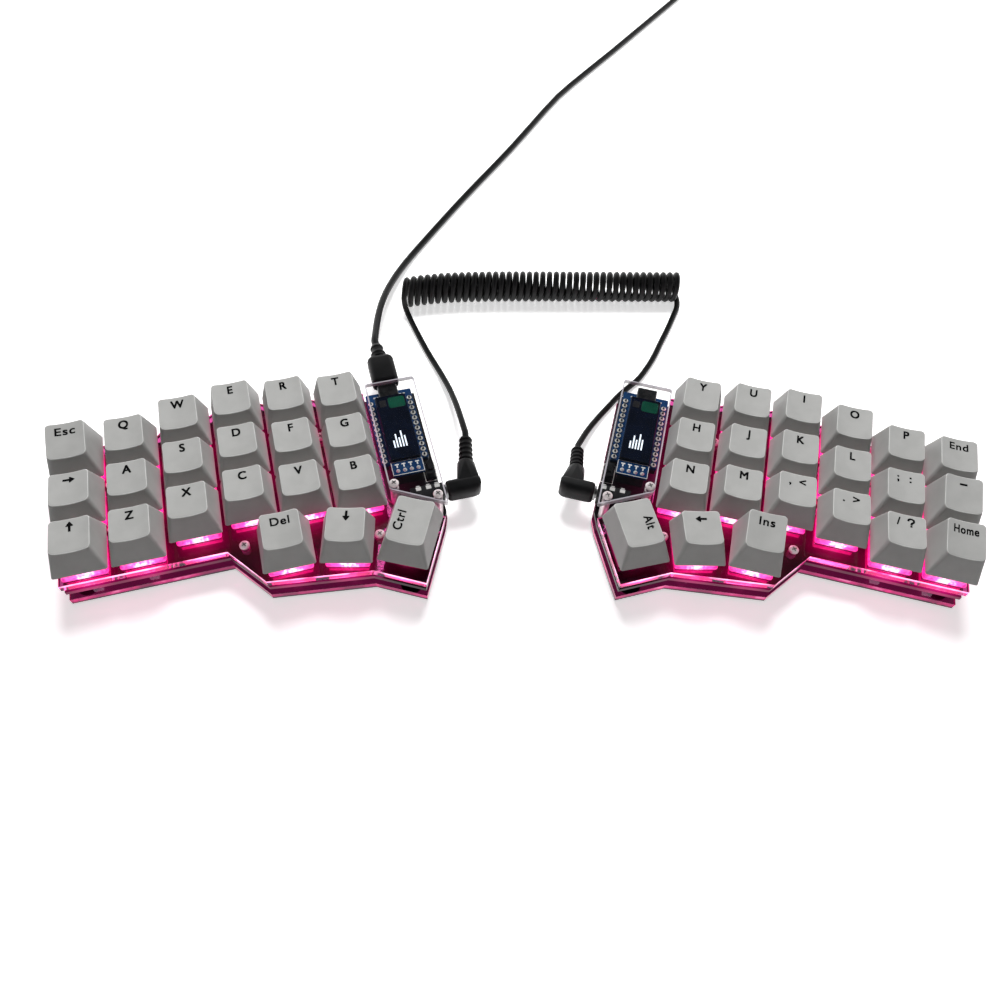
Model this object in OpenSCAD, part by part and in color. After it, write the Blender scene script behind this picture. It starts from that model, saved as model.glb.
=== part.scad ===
// Split keyboard: two mirrored halves with clear plates, joined by a curly lead.
// Millimetres, +X right, +Y back, +Z up. The origin is on the table, under the
// middle of the space that the two halves cover.

/* [Layout] */
// Distance from key to key
key_pitch = 19.05; // [18:0.05:20]
// Turn of each half about the vertical, degrees
half_turn = 14.5; // [10:0.5:20]
// From the middle line to the outer home key of each half
half_reach = 155.2; // [150:0.1:180]
// Plate rim outside the key grid, below zero where it lies inside
plate_margin = -0.6; // [-0.8:0.1:0.4]

/* [Plates] */
// Rubber foot height
foot_height = 1.2; // [1.2:0.1:3]
// Rubber foot diameter
foot_diameter = 8; // [6:0.5:8]
// Thickness of the clear bottom and switch plates
plate_thickness = 3; // [2:0.1:3]
// Length of the standoffs between the plates
standoff_length = 7; // [7:0.5:9]
// Circuit board thickness
board_thickness = 1.6; // [1:0.1:1.6]
// How far the circuit board stays inside the plates
board_inset = 0.3; // [0:0.1:0.3]
// Top of the switch plate to the top of the circuit board
switch_depth = 5; // [5:0.1:5.5]

/* [Keys] */
// Width of a keycap at its rim
cap_width = 18.1; // [17.5:0.1:18.2]
// Width of a keycap at its top
cap_top_width = 13; // [12:0.1:13.5]
// Keycap wall
cap_wall = 1.5; // [1:0.1:1.5]
// Keycap roof at its side edges
cap_roof = 2.4; // [2:0.1:2.5]
// Radius of the dish in a keycap's top
dish_radius = 27; // [22:1:40]
// Length of the long thumb keycaps, in key pitches
long_cap_units = 1.25; // [1:0.25:1.25]
// Length of the place for the inner thumb key, in key pitches
long_place_units = 1.5; // [1.5:0.25:2]
// Rim of a resting keycap above the switch plate
rim_height = 5.3; // [5.3:0.1:6.3]
// How far a key goes down
key_travel = 4; // [3:0.1:4]

/* [Switches] */
// Width of the switch body in its plate hole
switch_body = 13.9; // [13.5:0.05:13.95]
// Gap around the switch body in its hole
switch_gap = 0.05; // [0.05:0.01:0.15]
// Width of the switch rim that lies on the plate
switch_rim = 15.4; // [14.6:0.1:15.4]
// Switch height above the plate
switch_height = 6.6; // [6.4:0.1:6.6]
// Width of the switch at its top
switch_top = 10; // [9.8:0.1:10.2]
// Depth of the switch at its top
switch_top_depth = 8.4; // [8.2:0.1:8.5]
// Gap around a sliding switch stem
stem_gap = 0.3; // [0.2:0.05:0.35]

/* [Fasteners] */
// Thread diameter of the screws
screw_diameter = 2; // [1.6:0.1:2]
// How far a screw goes into its standoff
screw_grip = 3; // [2:0.5:3]
// Screw head diameter
head_diameter = 3.6; // [3.2:0.1:3.6]
// Screw head height
head_height = 1.1; // [0.8:0.1:1.1]
// Standoff diameter
standoff_diameter = 3.2; // [3:0.1:3.2]
// Gap around screws and standoffs in their holes
hole_gap = 0.1; // [0.05:0.01:0.2]
// Length of the standoffs under the display covers
cover_standoff = 12; // [12:0.5:15]
// Thickness of the clear display covers
cover_thickness = 2; // [1.5:0.1:3]

/* [Leads] */
// Diameter of the curly lead's cord
curly_cord = 2.5; // [2:0.1:2.5]
// Curls in the curly lead
curls = 40; // [20:1:40]
// Radius of the curls at the middle of the cord
curl_radius = 5.4; // [5:0.1:6]
// Diameter of the USB lead
usb_cord = 3; // [2.5:0.1:3]
// Radius of the outer turn of the stored USB lead
coil_outer = 22; // [20:0.5:26]
// Turns in each of the two layers of the stored lead
layer_turns = 2.875; // [1.875:1:2.875]

/* [Hidden] */
$fn = 48;

// Small gap that keeps touching pieces of one node apart
seam = 0.05;
// How far a cutting shape runs past the face it opens
overcut = 0.1;

// Heights above the table
bottom_plate_top = foot_height + plate_thickness;
switch_plate_base = bottom_plate_top + standoff_length;
switch_plate_top = switch_plate_base + plate_thickness;
board_top = switch_plate_top - switch_depth;
board_base = board_top - board_thickness;
rim_z = switch_plate_top + rim_height;
switch_top_z = switch_plate_top + switch_height;
cover_base = board_top + cover_standoff;

// Each half is moved forward so that both together are centred on the origin
half_back = -15.6;

// How far each column of keys is set back, outer column first
stagger = [for (step = [0, 0, 2, 3, 2, 1]) step * key_pitch / 8];
// Inner side of the key grid
grid_end = 5.5 * key_pitch;
// A place given in key pitches
function pitched(place) = [place.x * key_pitch, place.y * key_pitch];
// Thumb keys: place in key pitches from the outer home key, and turn
thumb_keys = [[3.533, -1.774, 0], [4.619, -1.916, -14], [5.7375, -2.1155, -27]];
thumb_places = [for (place = thumb_keys) [each pitched(place), place.z]];

// Keycap tops by row: front edge [y, z] and back edge [y, z] from the rim's middle
cap_rows = [
  [[-5.6, 11], [8.1, 12.9]],
  [[-5.5, 10], [7.8, 10.8]],
  [[-5.1, 9.3], [7.8, 9.7]],
  [[-5.2, 9.8], [7.8, 9.5]]
];

// Keys: name, side, column from the outer edge or thumb place from 6 on, row, cap row
keys = [
  ["key_esc", -1, 0, 0, 0], ["key_q", -1, 1, 0, 1], ["key_w", -1, 2, 0, 1],
  ["key_e", -1, 3, 0, 1], ["key_r", -1, 4, 0, 1], ["key_t", -1, 5, 0, 1],
  ["key_arrow_right", -1, 0, 1, 3], ["key_a", -1, 1, 1, 2], ["key_s", -1, 2, 1, 2],
  ["key_d", -1, 3, 1, 2], ["key_f", -1, 4, 1, 2], ["key_g", -1, 5, 1, 2],
  ["key_arrow_up", -1, 0, 2, 3], ["key_z", -1, 1, 2, 3], ["key_x", -1, 2, 2, 3],
  ["key_c", -1, 3, 2, 3], ["key_v", -1, 4, 2, 3], ["key_b", -1, 5, 2, 3],
  ["key_delete", -1, 6, 0, 1], ["key_arrow_down", -1, 7, 0, 3], ["key_ctrl", -1, 8, 0, 3],
  ["key_end", 1, 0, 0, 1], ["key_p", 1, 1, 0, 1], ["key_o", 1, 2, 0, 1],
  ["key_i", 1, 3, 0, 1], ["key_u", 1, 4, 0, 1], ["key_y", 1, 5, 0, 1],
  ["key_dash", 1, 0, 1, 0], ["key_semicolon", 1, 1, 1, 2], ["key_l", 1, 2, 1, 2],
  ["key_k", 1, 3, 1, 2], ["key_j", 1, 4, 1, 2], ["key_h", 1, 5, 1, 2],
  ["key_home", 1, 0, 2, 0], ["key_slash", 1, 1, 2, 3], ["key_period", 1, 2, 2, 3],
  ["key_comma", 1, 3, 2, 3], ["key_m", 1, 4, 2, 3], ["key_n", 1, 5, 2, 3],
  ["key_insert", 1, 6, 0, 0], ["key_arrow_left", 1, 7, 0, 3], ["key_alt", 1, 8, 0, 3]
];
first_thumb = 6;
long_thumb = 8;

// Places on a half, measured from its outer home key
plate_screws = [
  for (place = [[0.5, 0.5], [0.5, -0.5], [2.777, -1.417], [4.5, 0.688], [5.2126, -1.7743]])
    pitched(place)
];
bay_width = 21.2;
cover_screw_steps = [3, 17.2];
cover_screws = [
  [grid_end + cover_screw_steps[0], -1.0446 * key_pitch],
  [grid_end + cover_screw_steps[1], -1.4646 * key_pitch]
];
feet = [
  for (place = [[-0.18, -1.15], [-0.18, 1.15], [3, 1.52], [6.14, 1.26], [5.617, -2.572]])
    pitched(place)
];
glow_lamps = [
  for (place = [[0.5, 0], [2.5, 0.42], [3.5, -0.1], [4.5, -0.42], [4.07, -1.89], [6.04, 0.42]])
    pitched(place)
];
lamp_size = [3.2, 2.8, 1.6];
// From the middle of a switch forward to its lamp
lamp_forward = 4.7;

// Plate rim, in key pitches where it follows the keys
front_run = 2.46;
step_slope = 0.1;
inner_edge = grid_end + bay_width;
inner_front = -1.417 * key_pitch;
notch_front = -1.05 * key_pitch;
notch_gap = 0.2;
cover_gap = 1.1;
cover_side = grid_end + cover_gap;
cover_width = 19;
cover_back = 27.2;
cover_rim = [
  [cover_side, -1.139 * key_pitch],
  [cover_side + cover_width, -1.69 * key_pitch],
  [cover_side + cover_width, cover_back],
  [cover_side, cover_back]
];

// Controller board, its display and the sockets beside them
controller_step = 9.925;
controller_x = grid_end + controller_step;
controller_size = [18, 34, 1.6];
controller_front = -4.4;
header_height = 2.5;
header_width = 2.5;
header_rows = 15.24;
pin_pitch = 2.54;
pins = 12;
pin_diameter = 0.7;
first_pin = -3.05;
pin_rise = 1;
controller_base = board_top + header_height;
controller_top = controller_base + controller_size.z;
usb_socket = [7.7, 5.6, 2.8];
usb_socket_wall = 0.35;
usb_socket_back = controller_front + controller_size.y + 1.2;
usb_z = controller_top + usb_socket.z / 2;
display_size = [12, 37.4, 1.2];
display_front = -12.4;
display_base = controller_top + 2.1;
glass_size = [11.5, 30, 1.4];
glass_front = -6;
display_header = [10.2, 2.5];
jack_size = [12.1, 6, 5];
jack_inner = grid_end + 8.8;
jack_y = -1.0656 * key_pitch;
jack_z = board_top + jack_size.z / 2;
jack_tab = [1.3, 0.5, 2.2];
jack_tabs = [2.4, 6.2, 9.4];
reset_body = [3.4, 6, 3.4];
reset_cap = [1.6, 2.8, 1.9];
reset_gap = 0.3;
reset_pocket = 1.4;
reset_travel = 0.25;
reset_step = 18.225;
reset_place = [grid_end + reset_step, -8.6];

// Plugs of the curly lead
jack_pin = 3.5;
jack_pin_length = 12;
jack_collar = 5.6;
jack_barrel = 7.4;
jack_collar_length = 0.8;
barrel_start = jack_inner + jack_size.x + 1.2;
barrel_length = 13;
barrel_end = barrel_start + barrel_length;
barrel_bevel = 3.4;
elbow_x = barrel_start + 7.3;
neck_diameter = 6.8;
neck_length = 11.5;
relief_length = 11;
// Lean of the left and the right neck towards the middle, and their droop, degrees
neck_lean = [13.5, 6];
neck_droop = [0, 14];

// Plugs of the USB lead
device_shell = [6.6, 1.7];
device_body = [10.4, 14, 7];
device_start = usb_socket_back + 1.6;
device_relief = 6.6;
host_shell = [12, 12.5, 4.5];
host_body = [15.4, 23, 8.4];
host_relief = 9;

// Helpers

function turned(point, angle) = [
  point.x * cos(angle) - point.y * sin(angle),
  point.x * sin(angle) + point.y * cos(angle)
];
function on_left(point) = turned(point, half_turn) + [-half_reach, half_back];

module left_half() {
  translate([-half_reach, half_back, 0])
    rotate(half_turn)
      children();
}

module on_side(side) {
  if (side < 0) left_half() children();
  else mirror([1, 0, 0]) left_half() children();
}

module both_halves() {
  left_half() children();
  mirror([1, 0, 0]) left_half() children();
}

function key_place(key) = key[2] < first_thumb
  ? [key[2] * key_pitch, stagger[key[2]] + (1 - key[3]) * key_pitch, 0]
  : thumb_places[key[2] - first_thumb];

module at_key(key) {
  place = key_place(key);
  translate([place.x, place.y, 0])
    rotate(place.z)
      children();
}

module at_left_keys() {
  for (key = keys)
    if (key[1] < 0) at_key(key) children();
}

// Box centred on X and Y that stands on a height
module standing_box(width, depth, base, top) {
  translate([-width / 2, -depth / 2, base])
    cube([width, depth, top - base]);
}

// Block whose four sides lean in under a sloping top
module leaning_block(width, top_width, depth, front, back) {
  top = max(front.y, back.y);
  intersection() {
    rotate([90, 0, 0])
      linear_extrude(2 * depth, center = true)
        polygon([[-width / 2, 0], [width / 2, 0], [top_width / 2, top], [-top_width / 2, top]]);
    rotate([90, 0, 90])
      linear_extrude(2 * width, center = true)
        polygon([[-depth / 2, 0], [depth / 2, 0], back, front]);
  }
}

// Corner of a thumb key's place, pushed out by a margin
function thumb_corner(index, side, end, units, margin) =
  [thumb_places[index].x, thumb_places[index].y]
  + turned([side * (key_pitch / 2 + margin), end * (units * key_pitch / 2 + margin)],
           thumb_places[index].z);

function column_back(column, margin) = stagger[column] + 1.5 * key_pitch + margin;

// Rim points shared by all plates: front edge and thumb keys, from outside to inside
function front_rim(margin) = [
  [-key_pitch / 2 - margin, -1.5 * key_pitch - margin],
  [front_run * key_pitch, -1.5 * key_pitch - margin],
  thumb_corner(0, -1, -1, 1, margin),
  thumb_corner(1, 1, -1, 1, margin),
  thumb_corner(2, 1, -1, long_place_units, margin),
  thumb_corner(2, 1, 1, long_place_units, margin)
];

// Rim points along the staggered back edge, from inside to outside
function back_rim(margin) = [
  for (column = [4 : -1 : 1])
    for (after = [1, 0])
      [(column + 0.5 + (2 * after - 1) * step_slope) * key_pitch, column_back(column + after, margin)],
  [-key_pitch / 2 - margin, column_back(0, margin)]
];

function full_rim(margin) = concat(
  front_rim(margin),
  [[inner_edge + margin, inner_front], [inner_edge + margin, column_back(5, margin)]],
  back_rim(margin)
);
function switch_plate_rim(margin) = concat(
  front_rim(margin),
  [thumb_corner(2, -1, 1, long_place_units, margin),
   [grid_end + notch_gap, notch_front], [grid_end + notch_gap, column_back(5, margin)]],
  back_rim(margin)
);

module drill(places, diameter, base, top) {
  for (place = places)
    translate([place.x, place.y, base - overcut])
      cylinder(d = diameter, h = top - base + 2 * overcut);
}

// Plates and board

module bottom_plates() {
  color("LightPink")
    both_halves()
      difference() {
        translate([0, 0, foot_height])
          linear_extrude(plate_thickness)
            polygon(full_rim(plate_margin));
        drill(plate_screws, screw_diameter + 2 * hole_gap, foot_height, bottom_plate_top);
      }
}

module switch_plates() {
  hole = switch_body + 2 * switch_gap;
  color("Pink")
    both_halves()
      difference() {
        translate([0, 0, switch_plate_base])
          linear_extrude(plate_thickness)
            polygon(switch_plate_rim(plate_margin));
        at_left_keys()
          standing_box(hole, hole, switch_plate_base - overcut, switch_plate_top + overcut);
        drill(plate_screws, screw_diameter + 2 * hole_gap, switch_plate_base, switch_plate_top);
      }
}

// Lamp chips under the board, one in front of each switch and a few for the plate
module lamp_chip() {
  standing_box(lamp_size.x, lamp_size.y, board_base - lamp_size.z, board_base - seam);
}

module reset_switch_body() {
  pocket = [reset_cap.x + 2 * reset_gap, reset_cap.y + 2 * reset_gap];
  top = board_top + reset_body.z;
  translate([reset_place.x, reset_place.y, 0])
    difference() {
      standing_box(reset_body.x, reset_body.y, board_top + seam, top);
      standing_box(pocket.x, pocket.y, top - reset_pocket, top + overcut);
    }
}

module circuit_boards() {
  color("DimGray")
    both_halves() {
      difference() {
        translate([0, 0, board_base])
          linear_extrude(board_thickness)
            polygon(full_rim(plate_margin - board_inset));
        drill(plate_screws, standoff_diameter + 4 * hole_gap, board_base, board_top);
        drill(cover_screws, screw_diameter + 2 * hole_gap, board_base, board_top);
      }
      at_left_keys()
        translate([0, -lamp_forward, 0])
          lamp_chip();
      for (place = glow_lamps)
        translate([place.x, place.y, 0])
          lamp_chip();
      reset_switch_body();
    }
}

// Switches

cavity = [9, 8];
stem_block = [7, 5.6];
stem_shoulder = [cavity.x - 2 * stem_gap, cavity.y - 2 * stem_gap];
shoulder_height = 2;
switch_rim_height = 1;
switch_rim_top = switch_plate_top + switch_rim_height;
switch_roof = 1;
switch_bottom = 1.2;
switch_step = 0.5;
cross_width = 1.25;
cross_span = 4;
cross_height = 3.6;
// How far the cap's boss reaches into the roof
boss_sink = 0.6;

switch_floor = board_top + switch_bottom;
shoulder_top = switch_top_z - switch_roof - stem_gap;
shoulder_base = shoulder_top - shoulder_height;
spring_outside = 4.4;
spring_wire = 0.5;
spring_inside = spring_outside - 2 * spring_wire;
// The post inside the spring stops the stem at the end of its travel
stop_post = spring_inside - 2 * stem_gap;
stop_gap = 0.1;
stop_top = shoulder_base - key_travel - stop_gap;

module switch_base() {
  difference() {
    union() {
      standing_box(switch_body, switch_body, board_top, switch_plate_top);
      standing_box(switch_rim, switch_rim, switch_plate_top, switch_rim_top - seam);
    }
    standing_box(cavity.x, cavity.y, switch_floor, switch_rim_top + overcut);
  }
  translate([0, 0, switch_floor - overcut])
    cylinder(d = stop_post, h = stop_top - switch_floor + overcut);
}

module switch_cover() {
  height = switch_top_z - switch_rim_top;
  opening = [stem_block.x + 2 * stem_gap, stem_block.y + 2 * stem_gap];
  base = switch_rim - 2 * switch_step;
  difference() {
    translate([0, 0, switch_rim_top])
      leaning_block(base, switch_top, base, [-switch_top_depth / 2, height],
                    [switch_top_depth / 2, height]);
    standing_box(cavity.x, cavity.y, switch_rim_top - overcut, switch_top_z - switch_roof);
    standing_box(opening.x, opening.y, switch_rim_top, switch_top_z + overcut);
  }
}

module switch_housings() {
  color("HotPink")
    both_halves()
      at_left_keys() {
        switch_base();
        switch_cover();
      }
}

// Springs under the stems, each as a plain sleeve at its resting length
module key_springs() {
  color("LightSteelBlue")
    both_halves()
      at_left_keys()
        tube_between(spring_outside, spring_inside, switch_floor, shoulder_base);
}

// Keys: a dished cap on the stem of its switch

module cross_shape(gap, height) {
  span = cross_span + 2 * gap;
  width = cross_width + 2 * gap;
  standing_box(span, width, 0, height);
  standing_box(width, span, 0, height);
}

module switch_stem() {
  standing_box(stem_block.x, stem_block.y, shoulder_base, switch_top_z - seam);
  standing_box(stem_shoulder.x, stem_shoulder.y, shoulder_base, shoulder_top);
  translate([0, 0, switch_top_z - 2 * seam])
    cross_shape(0, cross_height);
}

module cap_dish(front, back) {
  tilt = atan2(back.y - front.y, back.x - front.x);
  lift = sqrt(pow(dish_radius, 2) - pow(cap_top_width / 2, 2));
  translate([0, (front.x + back.x) / 2, (front.y + back.y) / 2])
    rotate([tilt, 0, 0])
      translate([0, 0, lift])
        rotate([90, 0, 0])
          cylinder(r = dish_radius, h = 3 * key_pitch, center = true, $fn = 96);
}

module keycap(row, extra) {
  front = cap_rows[row][0] - [extra / 2, 0];
  back = cap_rows[row][1] + [extra / 2, 0];
  length = cap_width + extra;
  inner_width = cap_width - 2 * cap_wall;
  inner_top = cap_top_width - 2 * cap_wall;
  boss_base = switch_top_z - rim_z;
  boss_top = (front.y + back.y) / 2 - cap_roof + boss_sink;
  difference() {
    leaning_block(cap_width, cap_top_width, length, front, back);
    translate([0, 0, -overcut])
      leaning_block(inner_width, inner_top, length - 2 * cap_wall,
                    front + [cap_wall, -cap_roof], back - [cap_wall, cap_roof]);
    cap_dish(front, back);
  }
  difference() {
    translate([0, 0, boss_base])
      cylinder(d = stem_block.y, h = boss_top - boss_base);
    translate([0, 0, boss_base - overcut])
      cross_shape(seam, cross_height + overcut + seam);
  }
}

module key(key) {
  extra = key[2] == long_thumb ? (long_cap_units - 1) * key_pitch : 0;
  color("Silver")
    on_side(key[1])
      at_key(key) {
        translate([0, 0, rim_z])
          keycap(key[4], extra);
        switch_stem();
      }
}

// Fasteners and feet

module tube_between(diameter, bore, base, top) {
  difference() {
    translate([0, 0, base])
      cylinder(d = diameter, h = top - base);
    translate([0, 0, base - overcut])
      cylinder(d = bore, h = top - base + 2 * overcut);
  }
}

module standoffs() {
  bore = screw_diameter + 2 * hole_gap;
  for (place = plate_screws)
    translate([place.x, place.y, 0])
      tube_between(standoff_diameter, bore, bottom_plate_top, switch_plate_base);
  for (place = cover_screws)
    translate([place.x, place.y, 0])
      tube_between(standoff_diameter, bore, board_top, cover_base);
}

// Screw with a cross recess, whose head sits on the height zero, shank downward
recess = [2, 0.45, 0.6];
module screw(length) {
  difference() {
    union() {
      cylinder(d = head_diameter, h = head_height);
      translate([0, 0, -length])
        cylinder(d = screw_diameter, h = length + overcut);
    }
    for (angle = [0, 90])
      rotate(angle)
        standing_box(recess.x, recess.y, head_height - recess.z, head_height + overcut);
  }
}

// Upper and lower screw of a standoff, each through its own plate
module screw_pair(upper, upper_plate, lower, lower_plate) {
  translate([0, 0, upper])
    screw(upper_plate + screw_grip);
  translate([0, 0, lower])
    mirror([0, 0, 1])
      screw(lower_plate + screw_grip);
}

module screws() {
  for (place = plate_screws)
    translate([place.x, place.y, 0])
      screw_pair(switch_plate_top, plate_thickness, foot_height, plate_thickness);
  for (place = cover_screws)
    translate([place.x, place.y, 0])
      screw_pair(cover_base + cover_thickness, cover_thickness, board_base, board_thickness);
}

module screws_and_standoffs() {
  color("Gainsboro")
    both_halves() {
      standoffs();
      screws();
    }
}

module rubber_feet() {
  color("DarkSlateGray")
    both_halves()
      for (place = feet)
        translate([place.x, place.y, 0])
          cylinder(d = foot_diameter, h = foot_height);
}

// Controller, display and sockets

module display_covers() {
  color("White")
    both_halves()
      difference() {
        translate([0, 0, cover_base])
          linear_extrude(cover_thickness)
            polygon(cover_rim);
        drill(cover_screws, screw_diameter + 2 * hole_gap, cover_base, cover_base + cover_thickness);
      }
}

module at_pins() {
  for (index = [0 : pins - 1])
    translate([0, first_pin + index * pin_pitch, 0])
      children();
}

module header_strip() {
  length = pins * pin_pitch;
  translate([0, first_pin - pin_pitch / 2, board_top])
    translate([-header_width / 2, 0, 0])
      cube([header_width, length, header_height - seam]);
  at_pins()
    translate([0, 0, controller_base - 2 * seam])
      cylinder(d = pin_diameter, h = controller_size.z + pin_rise, $fn = 16);
}

module usb_socket_shell() {
  wall = usb_socket_wall;
  translate([0, usb_socket_back - usb_socket.y / 2, 0])
    difference() {
      standing_box(usb_socket.x, usb_socket.y, controller_top + seam, controller_top + usb_socket.z);
      translate([0, wall, 0])
        standing_box(usb_socket.x - 2 * wall, usb_socket.y, controller_top + wall + seam,
                     controller_top + usb_socket.z - wall);
    }
}

module controllers() {
  color("SteelBlue")
    both_halves()
      translate([controller_x, 0, 0]) {
        difference() {
          translate([-controller_size.x / 2, controller_front, controller_base])
            cube(controller_size);
          for (side = [-1, 1])
            translate([side * header_rows / 2, 0, controller_base - overcut])
              at_pins()
                cylinder(d = pin_diameter + 2 * hole_gap, h = controller_size.z + 2 * overcut, $fn = 16);
        }
        for (side = [-1, 1])
          translate([side * header_rows / 2, 0, 0])
            header_strip();
        usb_socket_shell();
      }
}

module displays() {
  header_y = display_front + 2;
  board_end = display_base + display_size.z;
  color("MidnightBlue")
    both_halves()
      translate([controller_x, 0, 0]) {
        translate([-display_size.x / 2, display_front, display_base])
          cube(display_size);
        translate([-glass_size.x / 2, glass_front, board_end + seam])
          cube(glass_size);
        translate([0, header_y, 0])
          standing_box(display_header.x, display_header.y, board_top, display_base - seam);
      }
}

module jack_sockets() {
  bore = jack_pin + 2 * hole_gap;
  color("DimGray")
    both_halves() {
      difference() {
        translate([jack_inner, jack_y - jack_size.y / 2, board_top])
          cube(jack_size);
        translate([jack_inner - overcut, jack_y, jack_z])
          rotate([0, 90, 0])
            cylinder(d = bore, h = jack_size.x + 2 * overcut);
      }
      for (along = jack_tabs)
        translate([jack_inner + along, jack_y + jack_size.y / 2 + seam, jack_z])
          cube(jack_tab);
    }
}

module reset_button(side) {
  base = board_top + reset_body.z - reset_pocket + reset_travel + overcut;
  color("Black")
    on_side(side)
      translate([reset_place.x, reset_place.y, 0])
        standing_box(reset_cap.x, reset_cap.y, base, base + reset_cap.z);
}

// Plugs

// Tapered relief with raised rings, along +Y from the origin
module ribbed_relief(start, finish, length, rings) {
  rotate([-90, 0, 0]) {
    cylinder(d1 = start, d2 = finish, h = length);
    for (index = [1 : rings])
      translate([0, 0, (index - 0.5) * length / rings])
        cylinder(d = start + (finish - start) * index / rings + 0.9, h = 0.9, center = true);
  }
}

// Barrel of a plug from a place along it to its end, with one edge cut off
module barrel_from(start) {
  difference() {
    translate([start, 0, 0])
      rotate([0, 90, 0])
        cylinder(d = jack_barrel, h = barrel_end - start, $fn = 32);
    translate([barrel_end, -jack_barrel / 2, 0])
      rotate(45)
        cube([barrel_bevel, barrel_bevel, 2 * jack_barrel], center = true);
  }
}

module jack_plug(lean, droop) {
  rear = jack_pin_length - (barrel_start - jack_inner - jack_size.x);
  neck_slice = 1;
  translate([0, jack_y, jack_z])
    rotate([-droop, 0, 0]) {
      translate([jack_inner + jack_size.x - rear, 0, 0])
        rotate([0, 90, 0])
          cylinder(d = jack_pin, h = jack_pin_length - jack_collar_length + overcut);
      translate([barrel_start - jack_collar_length, 0, 0])
        rotate([0, 90, 0])
          cylinder(d = jack_collar, h = jack_collar_length + overcut);
      barrel_from(barrel_start);
      hull() {
        barrel_from(elbow_x - neck_diameter / 2);
        translate([elbow_x, 0, 0])
          rotate(-lean)
            translate([0, neck_length - neck_slice, 0])
              rotate([-90, 0, 0])
                cylinder(d = neck_diameter, h = neck_slice, $fn = 32);
      }
      translate([elbow_x, 0, 0])
        rotate(-lean)
          translate([0, neck_length - overcut, 0])
            ribbed_relief(neck_diameter - 2, curly_cord + 1.5, relief_length + overcut, 5);
    }
}

module jack_plugs() {
  color("Black") {
    on_side(-1)
      jack_plug(neck_lean[0], neck_droop[0]);
    on_side(1)
      jack_plug(neck_lean[1], neck_droop[1]);
  }
}

// Plug body with sloping shoulders, along +Y from the origin
module plug_body(size, shoulder) {
  half = size.x / 2;
  translate([0, 0, -size.z / 2])
    linear_extrude(size.z)
      polygon([[-half, 0], [half, 0], [half, size.y - shoulder], [half - shoulder, size.y],
               [-half + shoulder, size.y], [-half, size.y - shoulder]]);
}

module device_plug() {
  reach = 4.2;
  translate([controller_x, 0, usb_z]) {
    translate([0, (device_start + usb_socket_back - reach) / 2, 0])
      standing_box(device_shell.x, device_start - usb_socket_back + reach - 0.1,
                   -device_shell.y / 2, device_shell.y / 2);
    translate([0, device_start, 0]) {
      plug_body(device_body, 2.4);
      translate([0, device_body.y - overcut, 0])
        ribbed_relief(usb_cord + 2.6, usb_cord + 1, device_relief + overcut, 2);
    }
  }
}

module host_plug() {
  translate(host_place)
    rotate(host_heading - 90) {
      rotate([-90, 0, 0])
        translate([0, 0, -host_relief])
          cylinder(d1 = usb_cord + 1, d2 = usb_cord + 3, h = host_relief + overcut);
      translate([0, host_body.y, 0])
        mirror([0, 1, 0])
          plug_body(host_body, 3);
      translate([0, host_body.y + host_shell.y / 2 + seam, 0])
        difference() {
          standing_box(host_shell.x, host_shell.y, -host_shell.z / 2, host_shell.z / 2);
          translate([0, 3, 0])
            standing_box(host_shell.x - 1, host_shell.y, -host_shell.z / 2 + 2.2, host_shell.z / 2 - 0.5);
        }
    }
}

module usb_plugs() {
  color("Black") {
    left_half()
      device_plug();
    host_plug();
  }
}

// Leads: a round tube through a row of points

function unit(v) = v / norm(v);
function tangents(path) = [
  for (i = [0 : len(path) - 1])
    unit(path[min(i + 1, len(path) - 1)] - path[max(i - 1, 0)])
];
function square_to(v, along) = unit(v - (v * along) * along);
function normals(along) = [
  for (i = 0, side = square_to([0, 0.3, 1], along[0]);
       i < len(along);
       i = i + 1, side = i < len(along) ? square_to(side, along[i]) : side)
    side
];

module cord_tube(path, diameter, sides) {
  along = tangents(path);
  side = normals(along);
  rings = len(path);
  points = [
    for (i = [0 : rings - 1])
      for (j = [0 : sides - 1])
        path[i] + diameter / 2 * (cos(360 * j / sides) * side[i]
                                  + sin(360 * j / sides) * cross(along[i], side[i]))
  ];
  walls = [
    for (i = [0 : rings - 2])
      for (j = [0 : sides - 1])
        let (a = i * sides + j, b = i * sides + (j + 1) % sides)
          each [[a, a + sides, b], [b, a + sides, b + sides]]
  ];
  last = (rings - 1) * sides;
  ends = [
    for (j = [1 : sides - 2])
      each [[0, j, j + 1], [last, last + j + 1, last + j]]
  ];
  polyhedron(points, concat(walls, ends), convexity = 8);
}

// Smooth curve through hand-chosen points
function blend(a, b, c, d, t) = 0.5 * (2 * b + (c - a) * t
  + (2 * a - 5 * b + 4 * c - d) * t * t + (3 * b - a - 3 * c + d) * t * t * t);
function smooth(route, steps) = [
  for (i = [0 : len(route) - 2])
    for (j = [0 : steps - 1])
      blend(route[max(i - 1, 0)], route[i], route[i + 1],
            route[min(i + 2, len(route) - 1)], j / steps),
  route[len(route) - 1]
];

function path_length(path) = len(path) < 2 ? 0
  : [for (i = [0 : len(path) - 2]) norm(path[i + 1] - path[i])]
    * [for (i = [0 : len(path) - 2]) 1];
function least_gap(path, diameter, skip) = min([
  for (i = [0 : len(path) - 1 - skip])
    for (j = [i + skip : len(path) - 1])
      norm(path[i] - path[j])
]) - diameter;

function mirrored(point) = [-point.x, point.y, point.z];

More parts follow.
